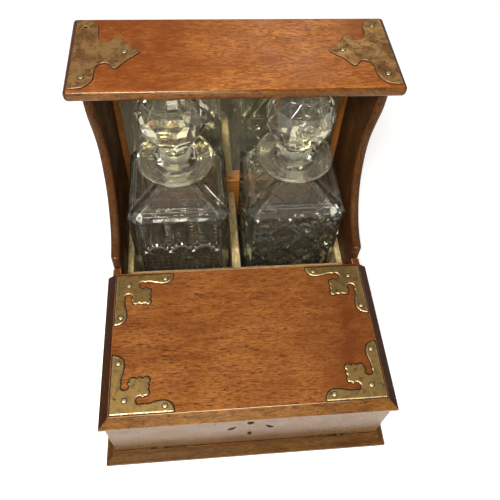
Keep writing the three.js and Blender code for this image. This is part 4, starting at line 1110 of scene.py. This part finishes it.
# %% [markdown]
# ### Lines on the shoulders
# The four slopes of the shoulder carry double lines along the eave, along both hips and across each
# corner. Such a line is a thin V. It needs three lines to split along: the groove and its two edges.

# %% Lines on the shoulders
HIP_LEAN = 22.5 / 26
GROOVE, GROOVE_DEPTH = 0.42, 0.5


def shoulder_marks(width):
    lines = [((0, s), (1, 0)) for s in (3.0, 5.6)]
    for way in (-1, 1):
        for inset in (3.0, 5.6):
            lines.append(((way * (width - inset * 1.32), 0), (-way * HIP_LEAN, 1)))
        for gap in (0, 2.8):
            lines.append(((way * (20.5 - gap), 0), (way, 1 / HIP_LEAN)))
    return lines


def beside(lines):
    """Each groove line with a line on either side of it, as far as its ridges."""
    marks = []
    for (u, w), (du, dw) in lines:
        size = sqrt(du * du + dw * dw)
        for step in (-GROOVE, 0, GROOVE):
            marks.append(((u - dw / size * step, w + du / size * step), (du, dw)))
    return marks


def groove_depth(lines):
    def found(u, w):
        deepest = 0.0
        for (u0, w0), (du, dw) in lines:
            off = abs((u - u0) * dw - (w - w0) * du) / sqrt(du * du + dw * dw)
            deepest = max(deepest, GROOVE_DEPTH * (1 - off / GROOVE))
        return deepest

    return found


print("shoulder lines:", len(shoulder_marks(41.5)), "on each slope")

# %% [markdown]
# ### The blown square
# The bottle's foot is a flat square with cut corners, a little drawn in. From its edge the walls and
# the shoulder grow, and then they are cut. The back wall is cut less deep, because through the front
# a second full pattern would only be a blur.

# %% The blown square and its cuts
FOOT_HALF = 41
WALL_FOOT, WALL_TOP, EAVE, NECK_FOOT = 3, 106, 111, 124
EAVE_HALF, NECK_HALF = 41.5, 19
BACK_SHARE = 0.4


def blown_square(bm, axis, foot):
    centre = Vector((*axis, foot)) * MM
    grid = bmesh.ops.create_grid(bm, x_segments=1, y_segments=1, size=HALF * MM,
                                 matrix=Matrix.Translation(centre))
    bmesh.ops.bevel(bm, geom=grid["verts"], offset=CORNER * MM, offset_type="OFFSET",
                    affect="VERTICES", segments=1, profile=0.5, material=-1)
    drawn_in = FOOT_HALF / HALF
    bmesh.ops.scale(bm, vec=(drawn_in, drawn_in, 1), verts=bm.verts, space=Matrix.Translation(-centre))
    rim = list(bm.edges)
    for half, level in ((HALF, WALL_FOOT), (HALF, WALL_TOP), (EAVE_HALF, EAVE), (NECK_HALF, NECK_FOOT)):
        rim = grow(bm, rim, axis, foot + level, cut_square(half))
    bmesh.ops.recalc_face_normals(bm, faces=bm.faces)


def cut_all_round(bm, axis, foot, marks, depth, frosted_highlight):
    lean = Vector((NECK_FOOT - EAVE, EAVE_HALF - NECK_HALF)).normalized()
    lines = shoulder_marks(EAVE_HALF)
    for quarter in range(4):
        out = Vector((round(cos(quarter * pi / 2)), round(sin(quarter * pi / 2)), 0))
        walls = side_faces(bm, axis, out, foot + WALL_FOOT, foot + WALL_TOP)
        share = BACK_SHARE if out.y > 0 else 1.0
        score(bm, walls, out, marks, lambda u, w: share * depth(u, w), frosted_highlight=frosted_highlight)
        sloping = Vector((out.x * lean.x, out.y * lean.x, lean.y))
        slopes = side_faces(bm, axis, sloping, foot + EAVE, foot + NECK_FOOT)
        score(bm, slopes, sloping, beside(lines), groove_depth(lines), ground=True)


print("the walls are", WALL_TOP - WALL_FOOT, "mm high")

# %% [markdown]
# ### Neck, lip and inside
# The neck and the lip are turned while hot, so their ring is round and smooth shaded. The neck of the
# right decanter is cut in flats, which show through the lip as a bright polygon. The square rim of
# the shoulder is divided finely first, because a round ring needs more points than a square one.

# %% Both decanters
LIP_LEVEL = 131.5
OUTSIDE_AND_BORE = (  # radius and height: up the neck, over the lip and down the bore
    (16.9, 126.2), (16.5, 128.5), (16.7, 131.0), (18.2, 133.0), (21.5, 134.4), (26.5, 135.5),
    (30.6, 136.7), (32.8, 138.0), (33.4, 139.3), (33.1, 140.5), (32.2, 141.0), (30.6, 140.9),
    (27.5, 140.4), (24.6, 140.2), (23.6, 139.7), (22.6, 139.6), (17.0, 139.6), (12.0, 139.7),
    (10.6, 139.4), (9.9, 138.6), (9.9, 126.0), (10.4, 121.5),
)
INSIDE = (  # half-width and height of the cavity, from the bore down to the bottom
    (17.5, 116.8), (30.0, 109.4), (36.0, 104.6), (38.0, 100.5), (38.0, 14.5), (37.2, 11.6),
    (34.6, 9.6), (30, 9.0),
)


def decanter(name, marks, depth, neck_flats, finish, frosted_highlight=None):
    low, high = (Vector(corner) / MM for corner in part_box(name))
    axis, foot = ((low.x + high.x) / 2, (low.y + high.y) / 2), low.z
    bm = bmesh.new()
    blown_square(bm, axis, foot)
    cut_all_round(bm, axis, foot, marks, depth, frosted_highlight)
    long_edges = [edge for edge in open_rim(bm) if edge.calc_length() > 0.008]
    bmesh.ops.subdivide_edges(bm, edges=long_edges, cuts=15)
    long_edges = [edge for edge in open_rim(bm) if edge.calc_length() > 0.0035]
    bmesh.ops.subdivide_edges(bm, edges=long_edges, cuts=1)
    rim = open_rim(bm)
    for radius, level in OUTSIDE_AND_BORE:
        in_flats = level < LIP_LEVEL and neck_flats > 0
        reach = flats(neck_flats, radius) if in_flats else circle(radius)
        rim = grow(bm, rim, axis, foot + level, reach, not in_flats, 2 if level > LIP_LEVEL else 0)
    for half, level in INSIDE:
        rim = grow(bm, rim, axis, foot + level, cut_square(half))
    cap(bm, rim)
    bmesh.ops.recalc_face_normals(bm, faces=bm.faces)
    print(name, "open edges:", len(open_rim(bm)))
    finishes = [finish, wheel_cut, lip_glass, print_glass, shoulder_glass]
    new_piece(bm, name + "_cut", finishes, name, [name])


decanter("decanter_left", left_marks(), left_depth, 0, left_glass, left_lit_crescent)
decanter("decanter_right", right_marks(), right_depth, 10, right_glass)

# %% [markdown]
# ## Ball stoppers
# A ball stopper is cut all over in flat facets, row above row, each row turned half a facet. The left
# ball is cut the same way: a cube loses a slice at every facet's plane, and each wound is filled with
# one flat face. The right one has three-cornered facets. For these, rings of points, each turned half
# a step, are wrapped in one hull. The ridges between facets are worn, so they get a narrow bevel.

# %% Cutting a ball
LEFT_ROWS = (0, 27, -27, 52, -52, 74)
RIGHT_RINGS = (-70, -45, -20, 5, 30, 55, 80)


def everything(bm):
    return [*bm.verts, *bm.edges, *bm.faces]


def sliced_ball(bm, centre, radius, around):
    bmesh.ops.create_cube(bm, size=radius * 2.2 * MM, matrix=Matrix.Translation(centre))
    planes = [Vector((0, 0, 1))]
    for row, tilt in enumerate(LEFT_ROWS):
        for i in range(around):
            turn = 2 * pi * (i + (row % 2) / 2) / around
            lift = radians(tilt)
            planes.append(Vector((cos(lift) * cos(turn), cos(lift) * sin(turn), sin(lift))))
    for out in planes:
        place = centre + out * radius * MM
        wound = bmesh.ops.bisect_plane(bm, geom=everything(bm), dist=1e-7, plane_co=place,
                                       plane_no=out, clear_outer=True)["geom_cut"]
        edges = [part for part in wound if isinstance(part, bmesh.types.BMEdge)]
        if edges:
            cap(bm, edges)


def wrapped_ball(bm, centre, radius, around):
    for ring, tilt in enumerate(RIGHT_RINGS):
        lift = radians(tilt)
        place = Matrix.Translation(centre + Vector((0, 0, sin(lift) * radius * MM)))
        place = place @ Matrix.Rotation((ring % 2) * pi / around, 4, "Z")
        bmesh.ops.create_circle(bm, cap_ends=False, segments=around, radius=cos(lift) * radius * MM,
                                matrix=place)
    bmesh.ops.convex_hull(bm, input=bm.verts)
    bmesh.ops.dissolve_limit(bm, angle_limit=radians(1), verts=bm.verts, edges=bm.edges)


print("rows of facets:", len(LEFT_ROWS), "and", len(RIGHT_RINGS) - 1)

# %% [markdown]
# ### Stem and plug
# Below the ball come a short cut stem, a collar that rests on the lip, and a ground plug in the bore.
# The ball is cut open at its foot, and the rim of that opening grows down through all of them, so a
# stopper is one closed skin. The plug's dull glass is why a stopper holds.

# %% Both stoppers
STEM_TO_COLLAR = ((12.6, 14.5), (12.2, 11.0), (14.0, 7.0), (17.2, 3.8), (17.9, 1.8), (17.0, 0.1))
PLUG = ((10.2, 0.1), (9.6, -0.6), (8.6, -21.4), (7.9, -22))
COLLAR_BELOW_TOP, RIDGE_WIDTH = 70.6, 0.27


def stopper(name, ball, around, growth, sink):
    """Growth makes the ball larger than the solid's, and sink is its centre's depth in radii."""
    low, high = (Vector(corner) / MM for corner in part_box(name))
    axis = ((low.x + high.x) / 2, (low.y + high.y) / 2)
    radius = growth * (high.x - low.x) / 2
    centre = Vector((*axis, high.z - sink * radius)) * MM
    bm = bmesh.new()
    ball(bm, centre, radius, around)
    stem_top = Vector((centre.x, centre.y, centre.z - 0.80 * radius * MM))
    bmesh.ops.bisect_plane(bm, geom=everything(bm), dist=1e-7, plane_co=stem_top, plane_no=(0, 0, -1),
                           clear_outer=True)
    ridges = [edge for edge in bm.edges if not any(v.is_boundary for v in edge.verts)]
    worn = bmesh.ops.bevel(bm, geom=ridges, offset=RIDGE_WIDTH * MM, offset_type="OFFSET",
                           affect="EDGES", segments=1, profile=0.5, material=-1)
    for face in worn["faces"]:
        face.material_index = 2
    bmesh.ops.subdivide_edges(bm, edges=open_rim(bm), cuts=3)
    rim = open_rim(bm)
    foot = high.z - COLLAR_BELOW_TOP
    for half, level in STEM_TO_COLLAR:
        rim = grow(bm, rim, axis, foot + level, flats(around, half))
    for half, level in PLUG:
        rim = grow(bm, rim, axis, foot + level, circle(half), smooth=True)
    cap(bm, rim)
    bmesh.ops.recalc_face_normals(bm, faces=bm.faces)
    for face in bm.faces:
        if face.calc_center_median().z < (foot - 0.2) * MM:
            face.material_index = 1
    print(name, "open edges:", len(open_rim(bm)))
    new_piece(bm, name + "_cut", [ball_glass, ground_glass, ridge_glass], name, [name])


stopper("stopper_left", sliced_ball, 11, 1.0, 1.0)
stopper("stopper_right", wrapped_ball, 12, 1.08, 1.015)

# %% [markdown]
# ## Finishes for the solids that stay
# Hinges, lock, catch, cloth and small brass are the right shape already. They keep their solids and
# get a finish in their own slots.

# %% Finishes of the small parts
FINISH_OF = {
    "base_baize": brown_baize, "games_lining": green_baize, "well_pad_left": brown_baize,
    "well_pad_right": brown_baize, "mirror": silvered, "escutcheon_pin": dark_brass,
    "lock_case": lock_brass, "lock_bolt": grey_steel, "lid_keeper": lock_brass,
    "catch_guide": lock_brass, "catch_bolt": lock_brass, "catch_keeper": lock_brass,
    "cribbage_board": partition_wood,
}
for name in nodes:
    if "hinge" in name:
        FINISH_OF[name] = dark_brass
for name, finish in FINISH_OF.items():
    for place in nodes[name].material_slots:
        place.material = finish
print("finished solids:", len(FINISH_OF))

# %% [markdown]
# ## The floor
# A plain pale floor, wide enough that its edge is never seen. It keeps the object's shadow. Far from
# the object it fades to pure white, so that floor and background meet without a line. Only the
# camera, mirrors and glass see that glow: it lights nothing.

# %% Floor
FADE = (0.35, 1.5)


def pale_floor():
    bm = bmesh.new()
    bmesh.ops.create_grid(bm, x_segments=1, y_segments=1, size=20)
    mesh = bpy.data.meshes.new("pale_floor")
    bm.to_mesh(mesh)
    bm.free()
    floor = bpy.data.objects.new("pale_floor", mesh)
    bpy.context.scene.collection.objects.link(floor)
    material, tree, shader = new_material("pale_floor")
    place = stretched_place(tree)
    distance = add_node(tree, "VectorMath", {0: place}, operation="LENGTH").outputs["Value"]
    colour = mixed(tree, between(tree, distance, *FADE), (0.80, 0.80, 0.79), (0, 0, 0))
    tree.links.new(colour, shader.inputs["Base Color"])
    shader.inputs["Roughness"].default_value = 0.9
    shader.inputs["Specular IOR Level"].default_value = 0.2
    rays = add_node(tree, "LightPath").outputs
    seen = worked_out(tree, "MAXIMUM", rays["Is Camera Ray"], rays["Is Glossy Ray"])
    seen = worked_out(tree, "MAXIMUM", seen, rays["Is Transmission Ray"])
    glow = worked_out(tree, "MULTIPLY", seen, between(tree, distance, *FADE, 0.5, 1))
    tree.links.new(glow, shader.inputs["Emission Strength"])
    shader.inputs["Emission Color"].default_value = (1, 1, 1, 1)
    mesh.materials.append(material)
    print("floor fades to white from", FADE[0], "to", FADE[1], "m")


pale_floor()

# %% [markdown]
# ## Lamps
# One large soft lamp hangs over the camera's left shoulder. A weak one in front puts the glare on the
# box front, and a weak one behind lifts the back edges. Wide lamps give soft shadows, and their
# powers are low enough that a colour renders about as it is written.

# %% Lamps


def soft_lamp(name, place, target, width, depth, power, colour=(1, 1, 1)):
    data = bpy.data.lights.new(name, "AREA")
    data.shape = "RECTANGLE"
    data.size, data.size_y = width, depth
    data.energy = power
    data.color = colour
    lamp = bpy.data.objects.new(name, data)
    place, target = Vector(place), Vector(target)
    lamp.rotation_euler = (target - place).to_track_quat("-Z", "Y").to_euler()
    lamp.location = place
    bpy.context.scene.collection.objects.link(lamp)
    print(f"{name}: {power} W from {(target - place).length:.2f} m")


soft_lamp("key_lamp", (-0.25, -0.62, 1.05), (0, 0.03, 0.1), 0.40, 0.30, 18, (1, 0.96, 0.9))
soft_lamp("front_lamp", (-0.05, -0.95, 0.42), (0, 0.1, 0.13), 0.30, 0.20, 3.1, (1, 0.97, 0.92))
soft_lamp("back_lamp", (0.20, 0.95, 0.82), (0.02, 0.1, 0.2), 0.22, 0.16, 0.45)

# %% [markdown]
# ## The room
# The world is a pale room that the object mirrors: lighter near the horizon, dim above, and warmer
# through glass. Its light on dull surfaces is a plain grey. The camera sees pure white. Light Path
# tells which kind of ray asks, and each kind gets its own colour.

# %% World


def pale_room():
    world = bpy.data.worlds.new("pale_room")
    world.use_nodes = True
    tree = world.node_tree
    background = tree.nodes["Background"]
    rays = add_node(tree, "LightPath").outputs
    upwards = add_node(tree, "TexCoord").outputs["Generated"]
    height = add_node(tree, "SeparateXYZ", {0: upwards}).outputs[2]
    room = mixed(tree, between(tree, height, 0.0, 0.3), (0.84, 0.83, 0.80), (0.12, 0.12, 0.11))
    through = mixed(tree, between(tree, height, 0.0, 0.6), (0.84, 0.81, 0.67), (0.64, 0.61, 0.50))
    lit = mixed(tree, rays["Is Diffuse Ray"], room, (0.24, 0.24, 0.24))
    lit = mixed(tree, rays["Is Transmission Ray"], lit, through)
    shown = mixed(tree, rays["Is Camera Ray"], lit, (1, 1, 1))
    tree.links.new(shown, background.inputs["Color"])
    background.inputs["Strength"].default_value = 1
    bpy.context.scene.world = world
    print("room:", world.name, "of", len(tree.nodes), "nodes")


pale_room()
bpy.context.scene.view_settings.view_transform = "Standard"
